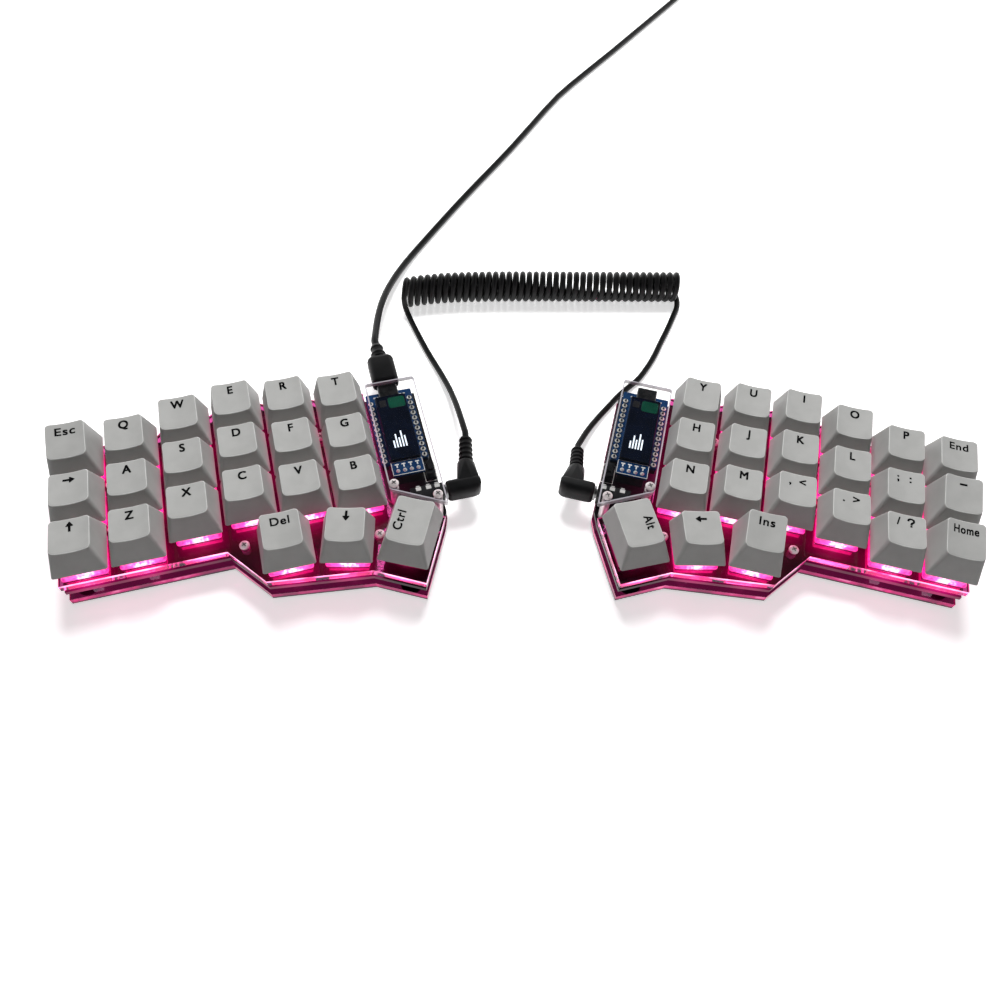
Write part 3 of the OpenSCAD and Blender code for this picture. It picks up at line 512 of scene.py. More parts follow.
# Keys: name, half, column from the outer edge or thumb place from 6 on, row, cap profile, legend
KEYS = (
    ("key_esc", LEFT, 0, 0, 0, "Esc"), ("key_q", LEFT, 1, 0, 1, "Q"), ("key_w", LEFT, 2, 0, 1, "W"),
    ("key_e", LEFT, 3, 0, 1, "E"), ("key_r", LEFT, 4, 0, 1, "R"), ("key_t", LEFT, 5, 0, 1, "T"),
    ("key_arrow_right", LEFT, 0, 1, 3, "arrow"), ("key_a", LEFT, 1, 1, 2, "A"), ("key_s", LEFT, 2, 1, 2, "S"),
    ("key_d", LEFT, 3, 1, 2, "D"), ("key_f", LEFT, 4, 1, 2, "F"), ("key_g", LEFT, 5, 1, 2, "G"),
    ("key_arrow_up", LEFT, 0, 2, 3, "arrow"), ("key_z", LEFT, 1, 2, 3, "Z"), ("key_x", LEFT, 2, 2, 3, "X"),
    ("key_c", LEFT, 3, 2, 3, "C"), ("key_v", LEFT, 4, 2, 3, "V"), ("key_b", LEFT, 5, 2, 3, "B"),
    ("key_delete", LEFT, 6, 0, 1, "Del"), ("key_arrow_down", LEFT, 7, 0, 3, "arrow"),
    ("key_ctrl", LEFT, 8, 0, 3, "Ctrl"),
    ("key_end", RIGHT, 0, 0, 1, "End"), ("key_p", RIGHT, 1, 0, 1, "P"), ("key_o", RIGHT, 2, 0, 1, "O"),
    ("key_i", RIGHT, 3, 0, 1, "I"), ("key_u", RIGHT, 4, 0, 1, "U"), ("key_y", RIGHT, 5, 0, 1, "Y"),
    ("key_dash", RIGHT, 0, 1, 0, "-"), ("key_semicolon", RIGHT, 1, 1, 2, ";:"), ("key_l", RIGHT, 2, 1, 2, "L"),
    ("key_k", RIGHT, 3, 1, 2, "K"), ("key_j", RIGHT, 4, 1, 2, "J"), ("key_h", RIGHT, 5, 1, 2, "H"),
    ("key_home", RIGHT, 0, 2, 0, "Home"), ("key_slash", RIGHT, 1, 2, 3, "/?"), ("key_period", RIGHT, 2, 2, 3, ".>"),
    ("key_comma", RIGHT, 3, 2, 3, ",<"), ("key_m", RIGHT, 4, 2, 3, "M"), ("key_n", RIGHT, 5, 2, 3, "N"),
    ("key_insert", RIGHT, 6, 0, 0, "Ins"), ("key_arrow_left", RIGHT, 7, 0, 3, "arrow"),
    ("key_alt", RIGHT, 8, 0, 3, "Alt"),
)
FIRST_THUMB = 6


def key_place(key):
    """Place and turn of a key on its half."""
    if key[2] < FIRST_THUMB:
        return key[2] * KEY_PITCH, STAGGER[key[2]] + (1 - key[3]) * KEY_PITCH, 0
    x, y, turn = THUMB_KEYS[key[2] - FIRST_THUMB]
    return x * KEY_PITCH, y * KEY_PITCH, turn


def key_spot(key, z=0):
    x, y, turn = key_place(key)
    return spot(key[1], x, y, z, turn)


# No pool of lamp light is painted under the long thumb keys: painted shade, for the board kept dark under their
# longer caps
LAMPS = [key_spot(key) @ Vector((0, -LAMP_FORWARD, 0)) for key in KEYS if key[2] != FIRST_THUMB + LONG_THUMB]


# Leads, first of the pieces. The route points are those of the solids.

def smooth_route(route, steps):
    """Smooth curve through points."""
    points = [Vector(p) for p in route]
    curve = []
    for i in range(len(points) - 1):
        a, b = points[max(i - 1, 0)], points[i]
        c, d = points[i + 1], points[min(i + 2, len(points) - 1)]
        for j in range(steps):
            t = j / steps
            curve.append(0.5 * (2 * b + (c - a) * t + (2 * a - 5 * b + 4 * c - d) * t * t
                                + (3 * b - a - 3 * c + d) * t * t * t))
    return curve + [points[-1]]


def heading(degrees):
    return Vector((math.cos(math.radians(degrees)), math.sin(math.radians(degrees)), 0))


def lead(name, path, diameter, stands_for):
    """A round lead along points, as a curve of one open spline."""
    curve = bpy.data.curves.new(name, "CURVE")
    curve.dimensions = "3D"
    curve.bevel_depth = diameter / 2 * MM
    curve.bevel_resolution = 3
    curve.use_fill_caps = True
    spline = curve.splines.new("POLY")
    spline.points.add(len(path) - 1)
    for point, place in zip(spline.points, path):
        point.co = (*(Vector(place) * MM), 1)
    curve.materials.append(cord_vinyl)
    made = bpy.data.objects.new(name, curve)
    bpy.context.collection.objects.link(made)
    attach(made, "halves")
    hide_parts(*stands_for)
    return made


CURLY_CORD = 2.5
CURLS = 40
CURL_RADIUS = 5.4
CURL_HEIGHT = CURL_RADIUS + CURLY_CORD / 2 + 0.05
CURL_DRAW = 4.4


def neck_frame(side):
    """Frame of a plug's neck: its Y runs out along the neck."""
    barrel = spot(side, 0, JACK_Y, JACK_HEIGHT) @ Matrix.Rotation(-NECK_DROOP[side], 4, "X")
    return barrel @ Matrix.Translation((-side * ELBOW_X, 0, 0)) @ Matrix.Rotation(side * NECK_LEAN[side], 4, "Z")


def curly_path():
    """Out of the left plug, along the table, the curls, and back to the right plug."""
    ends = []
    for side in HALVES:
        neck = neck_frame(side)
        reach = NECK_LENGTH + RELIEF_LENGTH
        ends.append([neck @ Vector((0, reach, 0)), neck @ Vector((0, reach + CURLY_CORD, 0))])
    left_route = [(-22.3, 31, 10.2), (-24.6, 41.3, 7.2), (-27.6, 51.8, 4.2), (-31.6, 61.9, 2.2), (-36.1, 71.4, 1.4),
                  (-40.2, 80.4, 1.4), (-43.2, 87.4, 1.4), (-45.2, 92.2, 1.5), (-46.7, 95.2, 3), (-47.7, 97, 5.6)]
    right_route = [(74.6, 106.4, 1.4), (73.9, 102.4, 1.4), (71.9, 97.6, 1.4), (68, 88.9, 1.4), (64.5, 81.8, 1.4),
                   (59.4, 71.3, 1.4), (52.9, 61.2, 1.4), (47.6, 55.8, 1.4), (42.9, 51, 1.4), (38.1, 45.1, 1.5),
                   (32.8, 38.2, 2.1), (28, 30.7, 3.6)]
    start, end = Vector((-47.9, 107.3, CURL_HEIGHT)), Vector((74.4, 110.1, CURL_HEIGHT))
    first, last, rings = 160, -90, 16
    turn = 360 * CURLS + first - last
    count = turn * rings // 360
    curls = []
    for i in range(count + 1):
        share = i / count
        angle = math.radians(first - turn * share)
        middle = start.lerp(end, share) - Vector((0, CURL_DRAW * (1 - share) ** 8, 0))
        curls.append(middle + CURL_RADIUS * Vector((0, math.cos(angle), math.sin(angle))))
    left_tail = smooth_route([ends[0][1], *left_route, curls[0]], 3)
    right_tail = smooth_route([curls[-1], *right_route, ends[1][1]], 3)
    return [ends[0][0], *left_tail, *curls[1:-1], *right_tail, ends[1][0]]


USB_CORD = 3
COIL_PLACE = Vector((109.6, 405.3, 0))
COIL_FIRST = -37
COIL_OUTER = 22
LAYER_STEP = USB_CORD + 0.5
LAYER_TURNS = 2.875
COIL_TURNS = 2 * LAYER_TURNS + 0.5
COIL_INNER = COIL_OUTER - COIL_TURNS * LAYER_STEP / 2
COIL_BASE = USB_CORD / 2 + 1


def usb_path():
    """The lead's points, then the place and heading of its host plug."""
    exit_place = spot(LEFT, CONTROLLER_X, DEVICE_START + DEVICE_BODY[1] + DEVICE_RELIEF, USB_HEIGHT).translation
    out = heading(90 + HALF_DEGREES)
    low = USB_CORD / 2 + 0.1
    route = [(-58.3, 75.8, 12.6), (-58.2, 84.5, 10.6), (-57.6, 93.5, 8.6), (-56.2, 103, 6.4), (-53.9, 112.3, 4.6),
             (-50.7, 121.8, 3), (-46.8, 130.8, 2), (-42.3, 139.4, low), (-32.6, 156.4, low), (-22.2, 174.2, low),
             (-10.8, 192.8, low), (1.2, 212.5, low), (12.9, 233, low), (28, 259, low), (44.5, 281.5, low),
             (61, 303, low), (77, 324.5, low), (93, 346, low), (108.5, 367, low)]
    rings = 24
    coil = []
    for i in range(round(COIL_TURNS * rings) + 1):
        turns = i / rings
        angle = math.radians(COIL_FIRST + 360 * turns)
        radius = COIL_INNER + abs(turns - COIL_TURNS / 2) * LAYER_STEP
        rise = min(1, max(0, (turns - LAYER_TURNS) / 0.5))
        coil.append(COIL_PLACE + Vector((radius * math.cos(angle), radius * math.sin(angle),
                                         COIL_BASE + LAYER_STEP * (3 - 2 * rise) * rise * rise)))
    coil_heading = heading(COIL_FIRST + 90)
    coil_in = coil[0] - USB_CORD * coil_heading
    host_angle = COIL_FIRST + 360 * COIL_TURNS + 90
    way = heading(host_angle)
    entry = Vector((coil[-1].x, coil[-1].y, HOST_BODY[2] / 2)) + 26 * way
    tail = [coil[-1] + 7 * way - Vector((0, 0, 0.4)), coil[-1] + 14 * way - Vector((0, 0, 1)),
            entry - USB_CORD * way, entry]
    run = smooth_route([exit_place + USB_CORD * out, *route, coil_in - 2 * USB_CORD * coil_heading], 2)
    path = [exit_place, *run, coil_in, *coil, *tail]
    return path, entry + HOST_RELIEF * way, host_angle


curly_points = curly_path()
curly_lead = lead("curly_lead_cord", curly_points, CURLY_CORD, ["curly_lead"])
usb_points, host_place, host_angle = usb_path()
usb_lead = lead("usb_lead_cord", usb_points, USB_CORD, ["usb_lead", "usb_lead_coil"])


def coil_tie():
    """Hook tie round the stored turns, opposite the plug: a flat band with round corners."""
    wall, room, width = 0.7, 0.35, 7
    inner = COIL_INNER - USB_CORD / 2 - room
    outer = COIL_OUTER + USB_CORD / 2 + room
    low = COIL_BASE - USB_CORD / 2 - room
    high = COIL_BASE + LAYER_STEP + USB_CORD / 2 + room
    centre = ((inner + outer) / 2, (low + high) / 2)
    bore = rounded(outer - inner, high - low, 0.6, 4, centre)
    band = rounded(outer - inner + 2 * wall, high - low + 2 * (low - max(low - wall, 0)), 1.1, 4, centre)
    work = shape()
    at = Matrix.Translation(COIL_PLACE) @ Matrix.Rotation(math.pi, 4, "Z")
    near, far = -width / 2, width / 2
    loft(work, [upended(bore, near), upended(band, near), upended(band, far), upended(bore, far),
                upended(bore, near)], 0, at, True, True)
    return make("coil_tie_band", work, [cord_vinyl], stands_for=["usb_lead_coil"])


tie = coil_tie()


# Plugs

def ribbed(start, finish, length, rings):
    """Profile of a tapered relief with raised rings."""
    profile = []
    for i in range(rings):
        low, high = i / rings, (i + 1) / rings
        thin = start + (finish - start) * low
        thick = start + (finish - start) * (low + high) / 2 + 0.9
        middle = (low + high) / 2 * length
        profile += [(thin / 2, low * length), (thin / 2, middle - 0.55), (thick / 2 - 0.1, middle - 0.4),
                    (thick / 2, middle - 0.2), (thick / 2, middle + 0.2), (thick / 2 - 0.1, middle + 0.4),
                    (thin / 2 - 0.02, middle + 0.55)]
    return profile + [(finish / 2, length)]


def along_y(at):
    """Turns a solid made along Z so that it runs along Y."""
    return at @ Matrix.Rotation(-math.pi / 2, 4, "X")


def hull(work, points, finish=0, at=Matrix()):
    """Skin stretched over points."""
    skin = bmesh.new()
    for point in points:
        skin.verts.new(point)
    bmesh.ops.convex_hull(skin, input=skin.verts)
    bmesh.ops.delete(skin, geom=[v for v in skin.verts if not v.link_faces], context="VERTS")
    skin.verts.index_update()
    put(work, [v.co.copy() for v in skin.verts], [[v.index for v in f.verts] for f in skin.faces], finish, at)
    skin.free()


def barrel_ring(side, along, size):
    """Square ring with large round corners, across a plug's barrel."""
    return [Vector((-side * (BARREL_START + along), y, z)) for y, z in rounded(size, size, 0.36 * size, 6)]


def jack_plugs():
    """Angled plugs: metal pin and collar, a barrel with a cut corner, a wedge-shaped neck and
    a ribbed relief."""
    work = shape()
    for side in HALVES:
        barrel = spot(side, 0, JACK_Y, JACK_HEIGHT) @ Matrix.Rotation(-NECK_DROOP[side], 4, "X")
        inward = barrel @ Matrix.Rotation(-side * math.pi / 2, 4, "Y")
        tip = BARREL_START - PIN_LENGTH
        lathe(work, [(0.4, tip), (1.1, tip + 0.5), (1.75, tip + 1.6), (1.2, tip + 2.4), (1.75, tip + 2.9),
                     (1.75, BARREL_START - 0.8)], 1, inward, 24)
        lathe(work, [(2.4, BARREL_START - 0.8), (2.8, BARREL_START - 0.6), (2.8, BARREL_START + 0.2)], 1, inward)
        body = []
        for along, size in ((0, 5.8), (0.4, 6.6), (1.2, 7.1), (9.8, 7.2)):
            body += barrel_ring(side, along, size)
        for along, size, front in ((11.6, 7.0, -2.6), (12.7, 6.4, -1.2), (13, 5.6, -0.4)):
            for point in barrel_ring(side, along, size):
                body.append(Vector((point.x, max(point.y, front), point.z)))
        hull(work, body, 0, barrel)
        neck = neck_frame(side)
        wedge = []
        for along, size in ((4.6, 6.6), (9.8, 6.9), (12.7, 6.0)):
            wedge += [p for p in barrel_ring(side, along, size) if p.y > -1]
        local = barrel.inverted() @ neck
        for out, radius in ((8.2, 3.4), (10.6, 3.3), (NECK_LENGTH, 2.7)):
            for i in range(28):
                angle = math.tau * i / 28
                wedge.append(local @ Vector((radius * math.cos(angle), out, radius * math.sin(angle))))
        hull(work, wedge, 0, barrel)
        lathe(work, ribbed(4.7, CURLY_CORD + 1.6, RELIEF_LENGTH, 5), 0,
              along_y(neck @ Matrix.Translation((0, NECK_LENGTH - 0.05, 0))))
    return make("jack_plugs_moulded", work, [plug_vinyl, shell_tin], stands_for=["jack_plugs"])


def plug_block(work, size, shoulder, at):
    """Moulded plug body along Y: eased front, flat sides and round shoulders."""
    width, length, height = size
    rings = []
    rounding = ((1, 0), (0.62, 0.12), (0.25, 0.45), (0.05, 0.85), (0, 1))
    steps = [(0, 0.5), (0.4, 0.1), (1, 0)]
    steps += [(length - back * shoulder, drop * shoulder) for back, drop in rounding]
    for along, inset in steps:
        squeeze = min(inset, 0.45 * height - 1)
        outline = rounded(width - 2 * inset, height - 1.3 * squeeze, 0.3 * height - 0.2 * squeeze, 5)
        rings.append(upended(outline, along))
    loft(work, rings, 0, at)


def device_plug():
    work = shape()
    at = spot(LEFT, CONTROLLER_X, 0, USB_HEIGHT)
    tongue = rounded(6.6, 1.7, 0.4, 3)
    loft(work, [upended(tongue, USB_BACK - 4.2), upended(tongue, DEVICE_START)], 1, at)
    at = at @ Matrix.Translation((0, DEVICE_START, 0))
    plug_block(work, DEVICE_BODY, 2.6, at)
    lathe(work, ribbed(USB_CORD + 2.6, USB_CORD + 1, DEVICE_RELIEF, 2), 0,
          along_y(at @ Matrix.Translation((0, DEVICE_BODY[1] - 0.05, 0))))
    return make("device_plug_moulded", work, [plug_vinyl, shell_tin], stands_for=["usb_plugs"])


def host_plug():
    work = shape()
    at = Matrix.Translation(host_place) @ Matrix.Rotation(math.radians(host_angle - 90), 4, "Z")
    back = at @ Matrix.Translation((0, HOST_BODY[1], 0)) @ Matrix.Rotation(math.pi, 4, "Z")
    plug_block(work, HOST_BODY, 3, back)
    lathe(work, [(2, 0), (2.1, 3), (2.5, 6), (3, HOST_RELIEF + 0.05)], 0,
          along_y(at @ Matrix.Translation((0, -HOST_RELIEF, 0))))
    mouth = HOST_BODY[1] + 12.5
    outer, inner = rounded(12, 4.5, 0.3, 3), rounded(11.4, 3.9, 0.2, 3)
    loft(work, [upended(outer, HOST_BODY[1] - 0.2), upended(outer, mouth), upended(inner, mouth),
                upended(inner, HOST_BODY[1] + 1.4)], 1, at)
    soft_box(work, (11.2, 10.6, 1.7), -1.9, 0, at, (0, HOST_BODY[1] + 6.6), 0.2, 0.1)
    return make("host_plug_moulded", work, [plug_vinyl, shell_tin], stands_for=["usb_plugs"])


plugs = jack_plugs()
device = device_plug()
host = host_plug()


# Keycaps

CAP_ROWS = (((-5.6, 11.0), (8.1, 12.9)), ((-5.5, 10.0), (7.8, 10.8)),
            ((-5.1, 9.3), (7.8, 9.7)), ((-5.2, 9.8), (7.8, 9.5)))
CAP_HALF = 9.05
CAP_TOP_HALF = 6.5
CAP_WALL = 1.5
CAP_ROOF = 2.4
DISH_RADIUS = 27
RIM_CORNER = 0.7
TOP_CORNER = 1.6
TOP_EASE = 0.32
CORNER_STEPS = 6
SIDE_SHARES = (0.04, 0.2, 0.35, 0.5, 0.65, 0.8, 0.96)
EDGE_HIGHLIGHT = 3


def cap_ring(half, front, back, radius):
    """Round-cornered ring whose points match from ring to ring."""
    centres = ((half - radius, front + radius), (half - radius, back - radius),
               (radius - half, back - radius), (radius - half, front + radius))
    ring = []
    for corner, (cx, cy) in enumerate(centres):
        for step in range(CORNER_STEPS + 1):
            angle = math.radians(-90 + 90 * corner + 90 * step / CORNER_STEPS)
            ring.append(Vector((cx + radius * math.cos(angle), cy + radius * math.sin(angle))))
        after = centres[(corner + 1) % 4]
        turn = math.radians(90 * corner)
        goal = Vector(after) + radius * Vector((math.cos(turn), math.sin(turn)))
        here = ring[-1].copy()
        for share in SIDE_SHARES:
            ring.append(here.lerp(goal, share))
    return ring


class CapTop:
    """The sloping, dished top of a keycap."""

    def __init__(self, row, extra):
        (self.front, self.front_height), (self.back, self.back_height) = CAP_ROWS[row]
        self.front -= extra / 2
        self.back += extra / 2

    def slope(self, y):
        share = (y - self.front) / (self.back - self.front)
        return self.front_height + share * (self.back_height - self.front_height)

    def height(self, x, y):
        drop = math.sqrt(DISH_RADIUS ** 2 - x * x) - math.sqrt(DISH_RADIUS ** 2 - CAP_TOP_HALF ** 2)
        return self.slope(y) - drop


def keycap(work, top, extra, at):
    """Cap with leaning walls, eased edges and a dish, hollow below, over the stem."""
    reach = CAP_HALF + extra / 2
    rim = cap_ring(CAP_HALF, -reach, reach, RIM_CORNER)
    crown = cap_ring(CAP_TOP_HALF, top.front, top.back, TOP_CORNER)
    inset = cap_ring(CAP_TOP_HALF - TOP_EASE, top.front + TOP_EASE, top.back - TOP_EASE, TOP_CORNER - TOP_EASE)
    walls = {share: [] for share in (0.02, 0.05, 0.35, 0.65, 0.9, 0.95)}
    eased = [[] for _ in range(5)]
    foot = []
    for low, high, flat in zip(rim, crown, inset):
        base = Vector((low.x, low.y, 0))
        tip = Vector((high.x, high.y, top.slope(high.y)))
        tip = base.lerp(tip, top.height(high.x, high.y) / top.slope(high.y))
        inner = Vector((flat.x, flat.y, top.height(flat.x, flat.y)))
        foot.append(base.lerp(Vector((0, 0, 0)), 0.02))
        for share, ring in walls.items():
            ring.append(base.lerp(tip, share))
        start = tip - (tip - base).normalized() * TOP_EASE
        for step, ring in enumerate(eased):
            t = step / (len(eased) - 1)
            ring.append(start.lerp(tip, t).lerp(tip.lerp(inner, t), t))
    centre = Vector((0, (top.front + top.back) / 2))
    dish = []
    for share in (0.97, 0.85, 0.7, 0.55, 0.4, 0.2, 0.04):
        ring = [centre.lerp(point, share) for point in inset]
        dish.append([Vector((p.x, p.y, top.height(p.x, p.y))) for p in ring])
    lip = cap_ring(CAP_HALF - CAP_WALL, CAP_WALL - reach, reach - CAP_WALL, 0.7)
    roof = cap_ring(CAP_TOP_HALF - CAP_WALL, top.front + CAP_WALL, top.back - CAP_WALL, 0.7)
    hollow = [[Vector((p.x, p.y, top.slope(p.y) - CAP_ROOF)) for p in roof], [Vector((p.x, p.y, 0)) for p in lip]]
    first = len(work["finish"])
    loft(work, [*hollow, foot, *walls.values(), *eased, *dish], 0, at)
    # The two eased rings take the painted edge highlight
    edge = first + (len(hollow) + len(walls) + 2) * len(rim)
    work["finish"][edge:edge + 2 * len(rim)] = [EDGE_HIGHLIGHT] * (2 * len(rim))


def switch_stem(work, top, at):
    """Stem under the cap: shoulder, block, and the cap's boss round its cross."""
    soft_box(work, (8.4, 7.4, 2), STEM_BASE - CAP_RIM, 2, at, radius=0.4)
    soft_box(work, (7, 5.6, 1.3), 19.45 - CAP_RIM, 2, at, radius=0.4)
    boss_top = (top.front_height + top.back_height) / 2 - CAP_ROOF + 0.4
    lathe(work, [(2.5, 1.26), (2.8, 1.5), (2.8, boss_top)], 0, at, 24)


# Legends lie just proud of the dish, so that they never share its face
LEGEND_LIFT = 0.03
LEGEND_HEIGHT = 3.4
WORD_HEIGHT = 3.1
LEGEND_WIDTHS = {"Esc": 6.7, "Del": 6.3, "Ctrl": 7.6, "End": 6.5, "Home": 8.3, "Ins": 5.3, "Alt": 5.2}
LEGEND_FROM_BACK = 3.1
# Strokes are thickened by laying each mark down at four corners of a small square
LEGEND_BOLD = 0.14
WORD_BOLD = 0.1
BOLD_CORNERS = ((-1, -1), (1, -1), (1, 1), (-1, 1))
PAIR_PLACES = (-2.7, 1.7)
ARROW = [(-1.9, 0.33), (-1.9, -0.33), (0.2, -0.33), (0.2, -1.15), (1.9, 0), (0.2, 1.15), (0.2, 0.33)]
ARROW_TURNS = {"key_arrow_right": 0, "key_arrow_up": 90, "key_arrow_left": 180, "key_arrow_down": 270}


# Signs drawn as strokes, one unit high
STROKE_HALF = 0.075
DRAWN_SIGNS = {
    "?": (((-0.31, 0.7), (-0.25, 0.87), (-0.09, 0.97), (0.1, 0.96), (0.25, 0.85), (0.27, 0.69), (0.19, 0.54),
           (0.04, 0.42), (0.0, 0.24)), ((0, -0.02), (0, 0.13))),
    ":": (((0, 0), (0, 0.15)), ((0, 0.5), (0, 0.65)))}


def strokes(paths):
    """Flat strips of even width along paths."""
    points = []
    faces = []
    for path in paths:
        line = [Vector(p) for p in path]
        first = len(points)
        for i, point in enumerate(line):
            along = (line[min(i + 1, len(line) - 1)] - line[max(i - 1, 0)]).normalized()
            aside = STROKE_HALF * Vector((-along.y, along.x))
            points += [tuple(point + aside), tuple(point - aside)]
        for near in range(first, first + 2 * len(line) - 2, 2):
            faces.append((near, near + 1, near + 3, near + 2))
    return points, faces


def letters(text):
    """Flat triangles of a plain sans text, with its capitals one unit high and its middle at x = 0."""
    curve = bpy.data.curves.new("legend", "FONT")
    curve.body = text
    curve.space_character = 1.12
    holder = bpy.data.objects.new("legend", curve)
    mesh = bpy.data.meshes.new_from_object(holder)
    points = [v.co.copy() for v in mesh.vertices]
    faces = [tuple(p.vertices) for p in mesh.polygons]
    bpy.data.objects.remove(holder)
    bpy.data.curves.remove(curve)
    bpy.data.meshes.remove(mesh)
    low, high = min(p.x for p in points), max(p.x for p in points)
    capital = 0.729
    return [((p.x - (low + high) / 2) / capital, p.y / capital) for p in points], faces, (high - low) / capital


def legend(work, key, top, at):
    """The key's mark, laid on its dish near the back edge."""
    name, text = key[0], key[5]
    middle = Vector((0, top.back - LEGEND_FROM_BACK))
    parts = []
    if text == "arrow":
        parts.append((ARROW, [tuple(range(7))], middle, 1.0, 1.0, ARROW_TURNS[name]))
    elif text == "-":
        bar = [(-1.2, -0.24), (1.2, -0.24), (1.2, 0.24), (-1.2, 0.24)]
        parts.append((bar, [(0, 1, 2, 3)], middle, 1.0, 1.0, 0))
    elif len(text) == 2:
        for sign, x in zip(text, PAIR_PLACES):
            points, faces = strokes(DRAWN_SIGNS[sign]) if sign in DRAWN_SIGNS else letters(sign)[:2]
            start = middle + Vector((x, -LEGEND_HEIGHT / 2))
            parts.append((points, faces, start, LEGEND_HEIGHT, LEGEND_HEIGHT, 0))
    else:
        points, faces, width = letters(text)
        spread = LEGEND_WIDTHS.get(text, 0.92 * width * LEGEND_HEIGHT) / width
        turn = {"Ctrl": 90, "Alt": -90}.get(text, 0)
        start = middle + Vector((0, -LEGEND_HEIGHT / 2))
        if turn:
            start = Vector((math.copysign(2.3, turn) * -1, 0.6))
        tall = LEGEND_HEIGHT if len(text) == 1 else WORD_HEIGHT
        parts.append((points, faces, start, spread, tall, turn))
    bold = LEGEND_BOLD if len(text) == 1 else WORD_BOLD
    for points, faces, start, wide, tall, turn in parts:
        turned = Matrix.Rotation(math.radians(turn), 2)
        for layer, corner in enumerate(BOLD_CORNERS):
            laid = []
            for x, y in points:
                p = start + turned @ Vector((x * wide, y * tall)) + bold * Vector(corner)
                laid.append((p.x, p.y, top.height(p.x, p.y) + LEGEND_LIFT + 0.002 * layer))
            put(work, laid, faces, 1, at)


for key in KEYS:
    extra = LONG_CAP_EXTRA if key[2] == FIRST_THUMB + LONG_THUMB else 0
    top = CapTop(key[4], extra)
    at = key_spot(key, CAP_RIM)
    work = shape()
    keycap(work, top, extra, at)
    switch_stem(work, top, at)
    legend(work, key, top, at)
    make(key[0] + "_cap", work, [cap_pbt, legend_dye, stem_acetal, cap_edge_highlight], body=key[0], stands_for=[key[0]],
         sharp=50)


# Switch housings

def switch_housings():
    """Clear housings: body through the plate, flange with eased rims, and a tapering cover with the
    stem's opening and a lamp window in front."""
    work = shape()
    away = []
    for key in KEYS:
        at = key_spot(key)
        lamp = at @ Vector((0, -LAMP_FORWARD - 1.5, PLATE_TOP))
        first = len(work["points"])
        body, flange, cavity = rounded(13.9, 13.9, 0.4), rounded(15.4, 15.4, 1.0), rounded(9, 8, 0.3)
        eased = rounded(14.9, 14.9, 0.75)
        flange_top = PLATE_TOP + 0.95
        loft(work, [raised(body, BOARD_TOP), raised(body, PLATE_TOP), raised(eased, PLATE_TOP),
                    raised(flange, PLATE_TOP + 0.25), raised(flange, flange_top - 0.25), raised(eased, flange_top),
                    raised(cavity, flange_top), raised(cavity, SWITCH_FLOOR)], 0, at)
        rings = [raised(rounded(14.4, 14.4, 1.0), flange_top), raised(rounded(14.0, 14.0, 1.0), PLATE_TOP + 1.6),
                 raised(rounded(10.3, 8.8, 0.9), SWITCH_TOP - 0.4), raised(rounded(9.8, 8.2, 0.8), SWITCH_TOP),
                 raised(rounded(7.6, 6.2, 0.3), SWITCH_TOP), raised(rounded(7.6, 6.2, 0.3), SWITCH_TOP - 1),
                 raised(cavity, SWITCH_TOP - 1.02), raised(cavity, flange_top + 0.02)]
        loft(work, rings + rings[:1], 0, at, True, True)
        soft_box(work, (4.2, 2.2, 0.6), PLATE_TOP + 0.9, 0, at, (0, -6.3), 0.3)
        # Painted shade: under the long thumb caps the housing's painted glow falls off faster
        long_cap_shade = 2.4 if key[2] == FIRST_THUMB + LONG_THUMB else 1
        away += [(p - lamp) * long_cap_shade for p in work["points"][first:]]
    made = make("switch_housings_clear", work, [switch_polycarbonate], stands_for=["switch_housings"])
    offsets = made.data.attributes.new("from_lamp", "FLOAT_VECTOR", "POINT")
    offsets.data.foreach_set("vector", [part for offset in away for part in offset])


switch_housings()


# Plate outlines

def thumb_corner(index, side, end, units, margin):
    x, y, turn = THUMB_KEYS[index]
    offset = Vector((side * (KEY_PITCH / 2 + margin), end * (units * KEY_PITCH / 2 + margin)))
    place = Vector((x * KEY_PITCH, y * KEY_PITCH)) + Matrix.Rotation(math.radians(turn), 2) @ offset
    return place.x, place.y


def column_back(column, margin):
    return STAGGER[column] + 1.5 * KEY_PITCH + margin


def board_outline(margin):
    """Rim of the boards, from the outer front corner round the front."""
    outer = -KEY_PITCH / 2 - margin
    inner = GRID_END + 21.2 + margin
    front = -1.5 * KEY_PITCH - margin
    rim = [(outer, front), (2.46 * KEY_PITCH, front), thumb_corner(0, -1, -1, 1, margin),
           thumb_corner(1, 1, -1, 1, margin), thumb_corner(2, 1, -1, LONG_PLACE_UNITS, margin),
           thumb_corner(2, 1, 1, LONG_PLACE_UNITS, margin),
           (inner, -1.417 * KEY_PITCH), (inner, column_back(5, margin))]
    for column in (4, 3, 2, 1):
        for after in (1, 0):
            rim.append(((column + 0.5 + (2 * after - 1) * 0.1) * KEY_PITCH, column_back(column + after, margin)))
    rim.append((outer, column_back(0, margin)))
    return rim


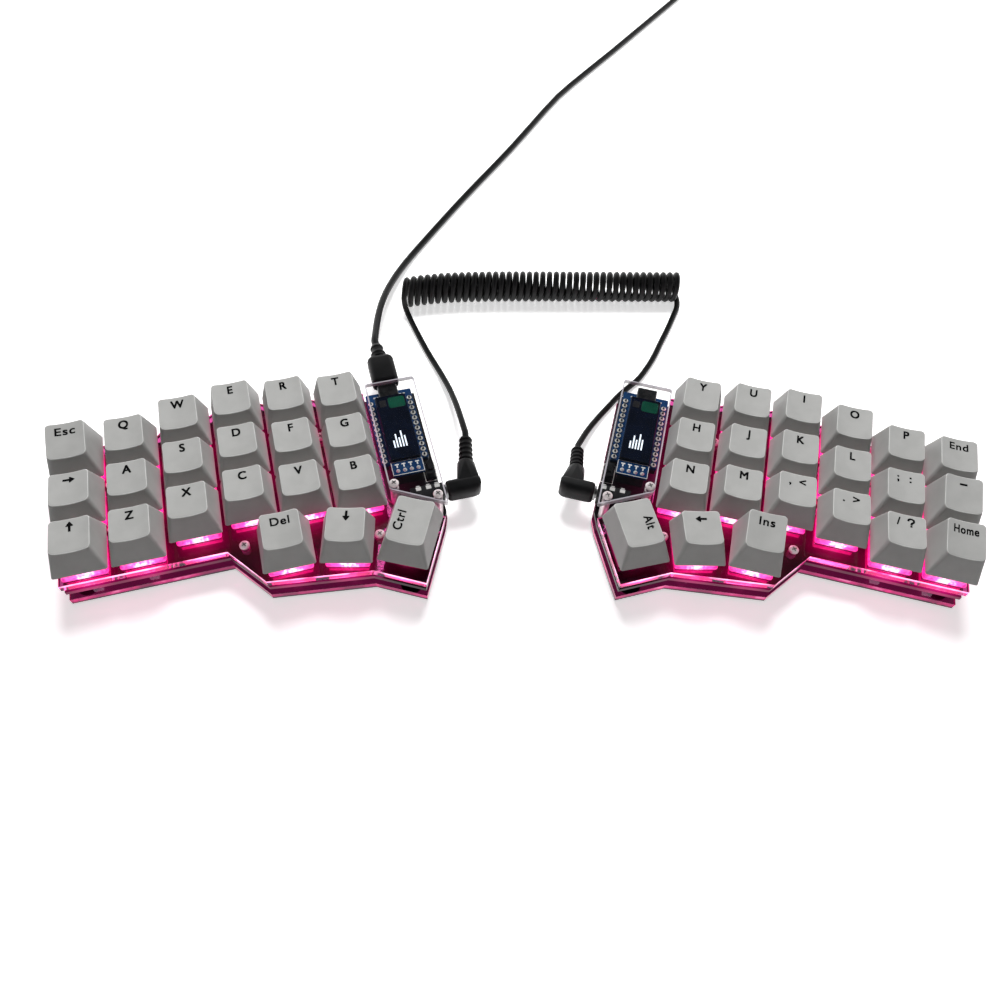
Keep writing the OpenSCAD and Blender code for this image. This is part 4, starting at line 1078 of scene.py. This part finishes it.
def circuit_boards():
    """Black boards cut into a fine grid that carries the pools of lamp light, with lamps below, printed outlines
    and the reset switch bodies."""
    work = shape()
    for side in HALVES:
        at = half_frame(side)
        prism(work, on_half(side, board_outline(-0.9)), BOARD_BASE, BOARD_TOP, 0, at)
        key_lamps = [(x, y - LAMP_FORWARD) for x, y, _ in map(key_place, KEYS[:len(KEYS) // 2])]
        for place in key_lamps + GLOW_LAMPS:
            soft_box(work, (3.2, 2.8, 1.55), BOARD_BASE - 1.6, 1, spot(side, *place))
        reset = spot(side, GRID_END + 18.225, -8.6)
        outer, inner = rounded(3.4, 6, 0.3), rounded(2.2, 3.4, 0.2)
        loft(work, [raised(outer, BOARD_TOP), raised(outer, 12.6),
                    raised(inner, 12.6), raised(inner, 11.2)], 2, reset)
        for end in (-1, 1):
            soft_box(work, (4.6, 0.25, 0.04), BOARD_TOP, 3, reset, (0, end * 4.2), 0.1, 0.01)
            soft_box(work, (0.25, 8.4, 0.04), BOARD_TOP, 3, reset, (end * 2.3, 0), 0.1, 0.01)
    made = make("circuit_boards_printed", work, [board_mask, lamp_silicone, socket_plastic, print_ink],
                stands_for=["circuit_boards"])
    grid = bmesh.new()
    grid.from_mesh(made.data)
    lo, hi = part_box("circuit_boards")
    step = 3 * MM
    for axis in (0, 1):
        normal = Vector((1 - axis, axis, 0))
        for i in range(1, int((hi[axis] - lo[axis]) / step)):
            cut = normal * (lo[axis] + i * step)
            large = [f for f in grid.faces if f.material_index == 0]
            edges = {e for f in large for e in f.edges}
            points = {v for f in large for v in f.verts}
            bmesh.ops.bisect_plane(grid, geom=[*large, *edges, *points], plane_co=cut, plane_no=normal,
                                   dist=1e-7)
    grid.to_mesh(made.data)
    grid.free()
    glow = made.data.attributes.new("glow", "FLOAT", "POINT")
    lamps = [lamp.xy * MM for lamp in LAMPS]
    spread = 2 * (4.6 * MM) ** 2
    light = []
    for vertex in made.data.vertices:
        near = [(vertex.co.xy - lamp).length_squared for lamp in lamps]
        pool = sum(math.exp(-d / spread) for d in near if d < 12 * spread)
        light.append(min(1.0, pool) + 0.2 * math.exp(-min(near) / (4 * spread)))
    glow.data.foreach_set("value", light)


circuit_boards()
for name, finish in (("switch_plates", switch_acrylic), ("bottom_plates", bottom_acrylic),
                     ("rubber_feet", foot_rubber), ("reset_button_left", socket_plastic),
                     ("reset_button_right", socket_plastic)):
    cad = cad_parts[name]
    cad.data.materials.clear()
    cad.data.materials.append(finish)


# Fasteners

def pan_screw(work, at, grip):
    """Pan-head screw whose head sits on height zero: crowned head, a cross recess drawn as a thin darker sheet on
    the head for painted shade, threaded shank.
    """
    lathe(work, [(1.75, 0), (1.8, 0.12), (1.8, 0.45), (1.62, 0.8), (1.25, 1.02), (0.9, 1.1)], 0, at, 32)
    # Painted shade: the cross recess is a thin sheet of darker tin on the crown, where the recess's shade falls
    for turn in (0, math.pi / 2):
        turned_place = at @ Matrix.Rotation(turn + 0.5, 4, "Z")
        soft_box(work, (1.9, 0.42, 0.03), 1.085, 1, turned_place, radius=0.15, edge=0.01)
    thread = []
    turns = int(grip / 0.4)
    for i in range(turns):
        low = -grip + i * 0.4
        thread += [(0.86, low), (1.0, low + 0.2)]
    lathe(work, [(0.5, -grip - 0.02), *thread, (0.9, 0)], 0, at, 16)


def fasteners():
    work = shape()
    over = Matrix.Rotation(math.pi, 4, "X")
    for side in HALVES:
        for place in PLATE_SCREWS:
            pipe(work, 1.6, 1.1, BOTTOM_PLATE_TOP, PLATE_BASE, 0, spot(side, *place), 24)
            pan_screw(work, spot(side, *place, PLATE_TOP), 6)
            pan_screw(work, spot(side, *place, BOTTOM_PLATE_BASE) @ over, 6)
        for place in COVER_SCREWS:
            pipe(work, 1.6, 1.1, BOARD_TOP, COVER_BASE, 0, spot(side, *place), 24)
            pan_screw(work, spot(side, *place, COVER_TOP), 5)
            pan_screw(work, spot(side, *place, BOARD_BASE) @ over, 4.6)
    make("screws_and_standoffs_turned", work, [screw_nickel, shell_tin], stands_for=["screws_and_standoffs"])


fasteners()


# Springs, one under each key

def key_spring(key):
    base, top, turns = SWITCH_FLOOR, STEM_BASE, 8
    path = []
    for i in range(turns * 12 + 1):
        share = i / (turns * 12)
        angle = math.tau * turns * share
        path.append((1.95 * math.cos(angle), 1.95 * math.sin(angle), base + 0.25 + (top - base - 0.5) * share))
    work = shape()
    sweep(work, path, 0.42, 6, 0, key_spot(key))
    made = make(key[0].replace("key", "spring", 1), work, [spring_steel], stands_for=["key_springs"])
    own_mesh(made)


for key in KEYS:
    key_spring(key)


# Covers over the displays

COVER_SIDE = GRID_END + 1.1
COVER_INNER = COVER_SIDE + 19
COVER_BACK = 27.2
COVER_RIM = [(COVER_SIDE, -1.139 * KEY_PITCH), (COVER_INNER, -1.69 * KEY_PITCH),
             (COVER_INNER, COVER_BACK), (COVER_SIDE, COVER_BACK)]
# A thin pale band is painted on the top face along the cut edges: painted light, for the light that comes up
# through the sheet there
EDGE_BAND = 0.5
COVER_INSIDE = [(COVER_SIDE + EDGE_BAND, COVER_RIM[0][1] + 0.59 * EDGE_BAND),
                (COVER_INNER - EDGE_BAND, COVER_RIM[1][1] + 1.7 * EDGE_BAND),
                (COVER_INNER - EDGE_BAND, COVER_BACK - EDGE_BAND),
                (COVER_SIDE + EDGE_BAND, COVER_BACK - EDGE_BAND)]


def round_corners(outline, radius, steps=4):
    """Outline with each corner replaced by a small arc."""
    eased = []
    for i, corner in enumerate(outline):
        here = Vector(corner)
        before = (Vector(outline[i - 1]) - here).normalized()
        after = (Vector(outline[(i + 1) % len(outline)]) - here).normalized()
        for step in range(steps + 1):
            t = step / steps
            start, end = here + before * radius, here + after * radius
            eased.append(tuple(start.lerp(here, t).lerp(here.lerp(end, t), t)))
    return eased


def display_covers():
    """Clear covers with a painted highlight as a pale band along the edges, and screw holes."""
    work = shape()
    hole_steps = 20
    for side in HALVES:
        at = half_frame(side)
        outline = on_half(side, round_corners(COVER_RIM, 1.2))
        inside = on_half(side, round_corners(COVER_INSIDE, 0.9))
        holes = []
        for x, y in COVER_SCREWS:
            holes.append([(-side * x + 1.1 * math.cos(math.tau * i / hole_steps),
                           y + 1.1 * math.sin(math.tau * i / hole_steps)) for i in range(hole_steps)])
        for height, rim in ((COVER_BASE, outline), (COVER_TOP, inside)):
            flat = bmesh.new()
            edges = []
            for loop in (rim, *holes):
                made = [flat.verts.new((x, y, height)) for x, y in loop]
                edges += [flat.edges.new((made[i - 1], made[i])) for i in range(len(made))]
            bmesh.ops.triangle_fill(flat, edges=edges, use_beauty=True)
            flat.verts.index_update()
            put(work, [v.co for v in flat.verts], [[v.index for v in f.verts] for f in flat.faces], 0, at)
            flat.free()
        for loop in (outline, *holes):
            loft(work, [raised(loop, COVER_BASE), raised(loop, COVER_TOP)], 1, at, True, True)
        loft(work, [raised(outline, COVER_TOP), raised(inside, COVER_TOP)], 1, at, True, True)
    made = make("display_covers_clear", work, [cover_acrylic, cover_edge_highlight], stands_for=["display_covers"])
    joined = bmesh.new()
    joined.from_mesh(made.data)
    bmesh.ops.remove_doubles(joined, verts=joined.verts, dist=1e-6)
    bmesh.ops.recalc_face_normals(joined, faces=joined.faces)
    joined.to_mesh(made.data)
    joined.free()
    made.data.set_sharp_from_angle(angle=math.radians(35))


display_covers()


# Controllers and displays

PIN_PITCH = 2.54
PINS = 12
FIRST_PIN = -3.05
PIN_ROWS = (-7.62, 7.62)


def controllers():
    """Blue boards on black pin strips, with soldered pins, printed rings, chips and USB sockets."""
    work = shape()
    for side in HALVES:
        at = spot(side, CONTROLLER_X, 0)
        soft_box(work, (18, 34, 1.6), CONTROLLER_BASE, 0, at, (0, CONTROLLER_FRONT + 17), 0.5, 0.1)
        for row in PIN_ROWS:
            length = PINS * PIN_PITCH
            soft_box(work, (2.5, length, 2.45), BOARD_TOP, 1, at, (row, FIRST_PIN + (length - PIN_PITCH) / 2), 0.3)
            for i in range(PINS):
                pin = at @ Matrix.Translation((row, FIRST_PIN + i * PIN_PITCH, 0))
                lathe(work, [(1.2, CONTROLLER_TOP - 0.05), (1.2, CONTROLLER_TOP + 0.04)], 1, pin, 20)
                pipe(work, 0.98, 0.5, CONTROLLER_TOP, CONTROLLER_TOP + 0.3, 2, pin, 20)
                # The pin ends are in the dark tin: painted shade
                lathe(work, [(0.34, CONTROLLER_TOP), (0.34, CONTROLLER_TOP + 0.9), (0.22, CONTROLLER_TOP + 1)],
                      4, pin, 12)
        # The USB socket is in the dark tin: a painted dark reflection
        outer, inner = (rounded(*size, centre=(0, USB_HEIGHT)) for size in ((7.7, 2.8, 0.7), (7.0, 2.1, 0.5)))
        loft(work, [upended(outer, USB_BACK - 5.6), upended(outer, USB_BACK - 0.1), upended(outer, USB_BACK),
                    upended(inner, USB_BACK), upended(inner, USB_BACK - 5.2)], 4, at)
        chips = ((0, 8, 7, 7, 0.9), (-3.4, 16.5, 2.2, 1.4, 0.6), (2.6, 16.2, 3.2, 1.6, 0.5), (0, 0.5, 3, 1.6, 0.6))
        for x, y, width, depth, height in chips:
            soft_box(work, (width, depth, height), CONTROLLER_TOP, 3, at, (x, y), 0.2, 0.08)
        for x in (-5.6, -4.3, 4.6, 6.0):
            soft_box(work, (0.9, 0.6, 0.35), CONTROLLER_TOP, 2, at, (x, 27.4), 0.1, 0.05)
    make("controllers_soldered", work, [blue_mask, socket_plastic, solder_tin, chip_epoxy, tin_painted_dark],
         stands_for=["controllers"])


DISPLAY_BASE = CONTROLLER_TOP + 2.1
DISPLAY_TOP = DISPLAY_BASE + 1.2
GLASS_TOP = DISPLAY_TOP + 1.45


def displays():
    """Display modules: blue board with four soldered pins, dark glass, its film connector and
    a few plain bars on the screen."""
    work = shape()
    for side in HALVES:
        at = spot(side, CONTROLLER_X, 0)
        soft_box(work, (12, 37.4, 1.2), DISPLAY_BASE, 0, at, (0, 6.3), 0.5, 0.1)
        soft_box(work, (10.2, 2.5, DISPLAY_BASE - BOARD_TOP - 0.05), BOARD_TOP, 1, at, (0, -10.4), 0.3)
        soft_box(work, (11.5, 30, 1.4), DISPLAY_TOP + 0.05, 2, at, (0, 9), 0.25, 0.12)
        soft_box(work, (6.4, 5.2, 0.25), GLASS_TOP - 0.1, 3, at, (1.9, 20.2), 0.9, 0.1)
        soft_box(work, (2.6, 3.2, 0.2), GLASS_TOP - 0.1, 5, at, (-3.4, 20.4), 0.3, 0.08)
        for i in range(4):
            x = (i - 1.5) * PIN_PITCH
            lathe(work, [(0.8, DISPLAY_TOP), (0.7, DISPLAY_TOP + 0.25), (0.35, DISPLAY_TOP + 0.6),
                         (0.3, DISPLAY_TOP + 0.9)], 4, at @ Matrix.Translation((x, -10.5, 0)), 14)
            soft_box(work, (1.5, 0.5, 0.03), DISPLAY_TOP, 6, at, (x, -7.6), 0.1, 0.01)
            soft_box(work, (0.5, 1.1, 0.03), DISPLAY_TOP, 6, at, (x, -8.5), 0.1, 0.01)
        for end in (-1, 1):
            soft_box(work, (0.2, 5.8, 0.03), DISPLAY_TOP, 6, at, (end * 5.8, -9.3), 0.09, 0.01)
            soft_box(work, (11.6, 0.2, 0.03), DISPLAY_TOP, 6, at, (0, -9.3 + end * 2.9), 0.09, 0.01)
        for i, length in enumerate((3.4, 6.2, 4.4, 7.4, 5.0)):
            soft_box(work, (0.55, length, 0.03), GLASS_TOP, 7, at, (-2.8 + i * 1.1, length / 2 - 1), 0.1, 0.01)
    finishes = [blue_mask, socket_plastic, display_glass, flex_film, solder_tin, chip_epoxy, print_ink, pixel_glow]
    make("displays_lit", work, finishes, stands_for=["displays"])


controllers()
displays()


# Jack sockets

def jack_sockets():
    """Black sockets with a round mouth, eased edges and three soldered tabs on top."""
    work = shape()
    for side in HALVES:
        at = spot(side, 0, JACK_Y)
        middle = -side * (JACK_INNER + 12.1 / 2)
        outline = [(y, z + JACK_HEIGHT) for y, z in rounded(6, 5, 0.4, 3)]
        mouth = []
        for y, z in outline:
            angle = math.atan2(z - JACK_HEIGHT, y)
            mouth.append((1.85 * math.cos(angle), JACK_HEIGHT + 1.85 * math.sin(angle)))
        ends = (middle + 6.05 * side, middle - 6.05 * side)
        rings = [[(x, y, z) for y, z in loop] for x, loop in (
            (ends[0], outline), (ends[1], outline), (ends[1], mouth), (ends[0], mouth), (ends[0], outline))]
        loft(work, rings, 0, at, True, True)
        for along in (2.4, 6.2, 9.4):
            x = -side * (JACK_INNER + along + 0.65)
            soft_box(work, (1.3, 0.5, 2.2), JACK_HEIGHT, 1, at, (x, 3.3), 0.12, 0.08)
            soft_box(work, (1.9, 1.5, 0.05), BOARD_TOP + 5, 1, at, (x, 1.9), 0.12, 0.01)
    make("jack_sockets_moulded", work, [socket_plastic, solder_tin], stands_for=["jack_sockets"])


jack_sockets()


# Floor, light and world

def eye_rays(tree):
    """One for rays from the eye, in mirrors and through glass, and zero for stray light."""
    path = node(tree, "ShaderNodeLightPath", {})
    seen = maths(tree, "MAXIMUM", path.outputs["Is Camera Ray"], path.outputs["Is Glossy Ray"])
    return maths(tree, "MAXIMUM", seen, path.outputs["Is Transmission Ray"])


def make_floor():
    mesh = bpy.data.meshes.new("floor")
    reach = 3
    corners = [(-reach, -reach, 0), (reach, -reach, 0), (reach, reach, 0), (-reach, reach, 0)]
    mesh.from_pydata(corners, [], [(0, 1, 2, 3)])
    made, tree, shader = material("matt white paper", {"Roughness": 0.9, "Specular IOR Level": 0.1})
    seen = eye_rays(tree)
    shown = maths(tree, "MULTIPLY_ADD", speckle(tree, 40), 0.02, 0.98)
    level = remap(tree, seen, after=(0.75, shown))
    # Far from the object, where little lamp light arrives, the paper still looks white
    space = node(tree, "ShaderNodeTexCoord", {})
    away = node(tree, "ShaderNodeVectorMath", {"operation": "LENGTH", 0: space.outputs["Object"]})
    pale = remap(tree, away.outputs["Value"], (0.35, 0.9), (0.6, 1.0))
    shader.inputs["Emission Color"].default_value = (1, 1, 1, 1)
    tree.links.new(level, shader.inputs["Base Color"])
    tree.links.new(maths(tree, "MULTIPLY", seen, pale), shader.inputs["Emission Strength"])
    mesh.materials.append(made)
    floor = bpy.data.objects.new("floor", mesh)
    bpy.context.collection.objects.link(floor)


def make_lamp(name, place, goal, size, power):
    data = bpy.data.lights.new(name, "AREA")
    data.shape = "DISK"
    data.size = size
    data.energy = power
    lamp = bpy.data.objects.new(name, data)
    lamp.location = place
    lamp.rotation_euler = (Vector(goal) - Vector(place)).to_track_quat("-Z", "Y").to_euler()
    # The lamp is kept out of mirrors, so that the clear sheets and the glass stay clear
    lamp.visible_glossy = False
    bpy.context.collection.objects.link(lamp)


def make_world():
    """White walls low down and a dim ceiling: the walls are white to the eye, in mirrors and
    through glass."""
    world = bpy.data.worlds.new("studio")
    bpy.context.scene.world = world
    world.use_nodes = True
    tree = world.node_tree
    space = node(tree, "ShaderNodeTexCoord", {})
    way = node(tree, "ShaderNodeSeparateXYZ", {"Vector": space.outputs["Generated"]})
    wall = remap(tree, way.outputs["Z"], (0.5, 0.62), (1.0, 0.0))
    level = remap(tree, maths(tree, "MULTIPLY", eye_rays(tree), wall), after=(0.1, 1.0))
    background = tree.nodes["Background"]
    background.inputs["Color"].default_value = (1, 1, 1, 1)
    tree.links.new(level, background.inputs["Strength"])


make_floor()
make_world()
make_lamp("softbox", (0, 0.5, 0.8), (0, 0, 0), 0.4, 9.6)
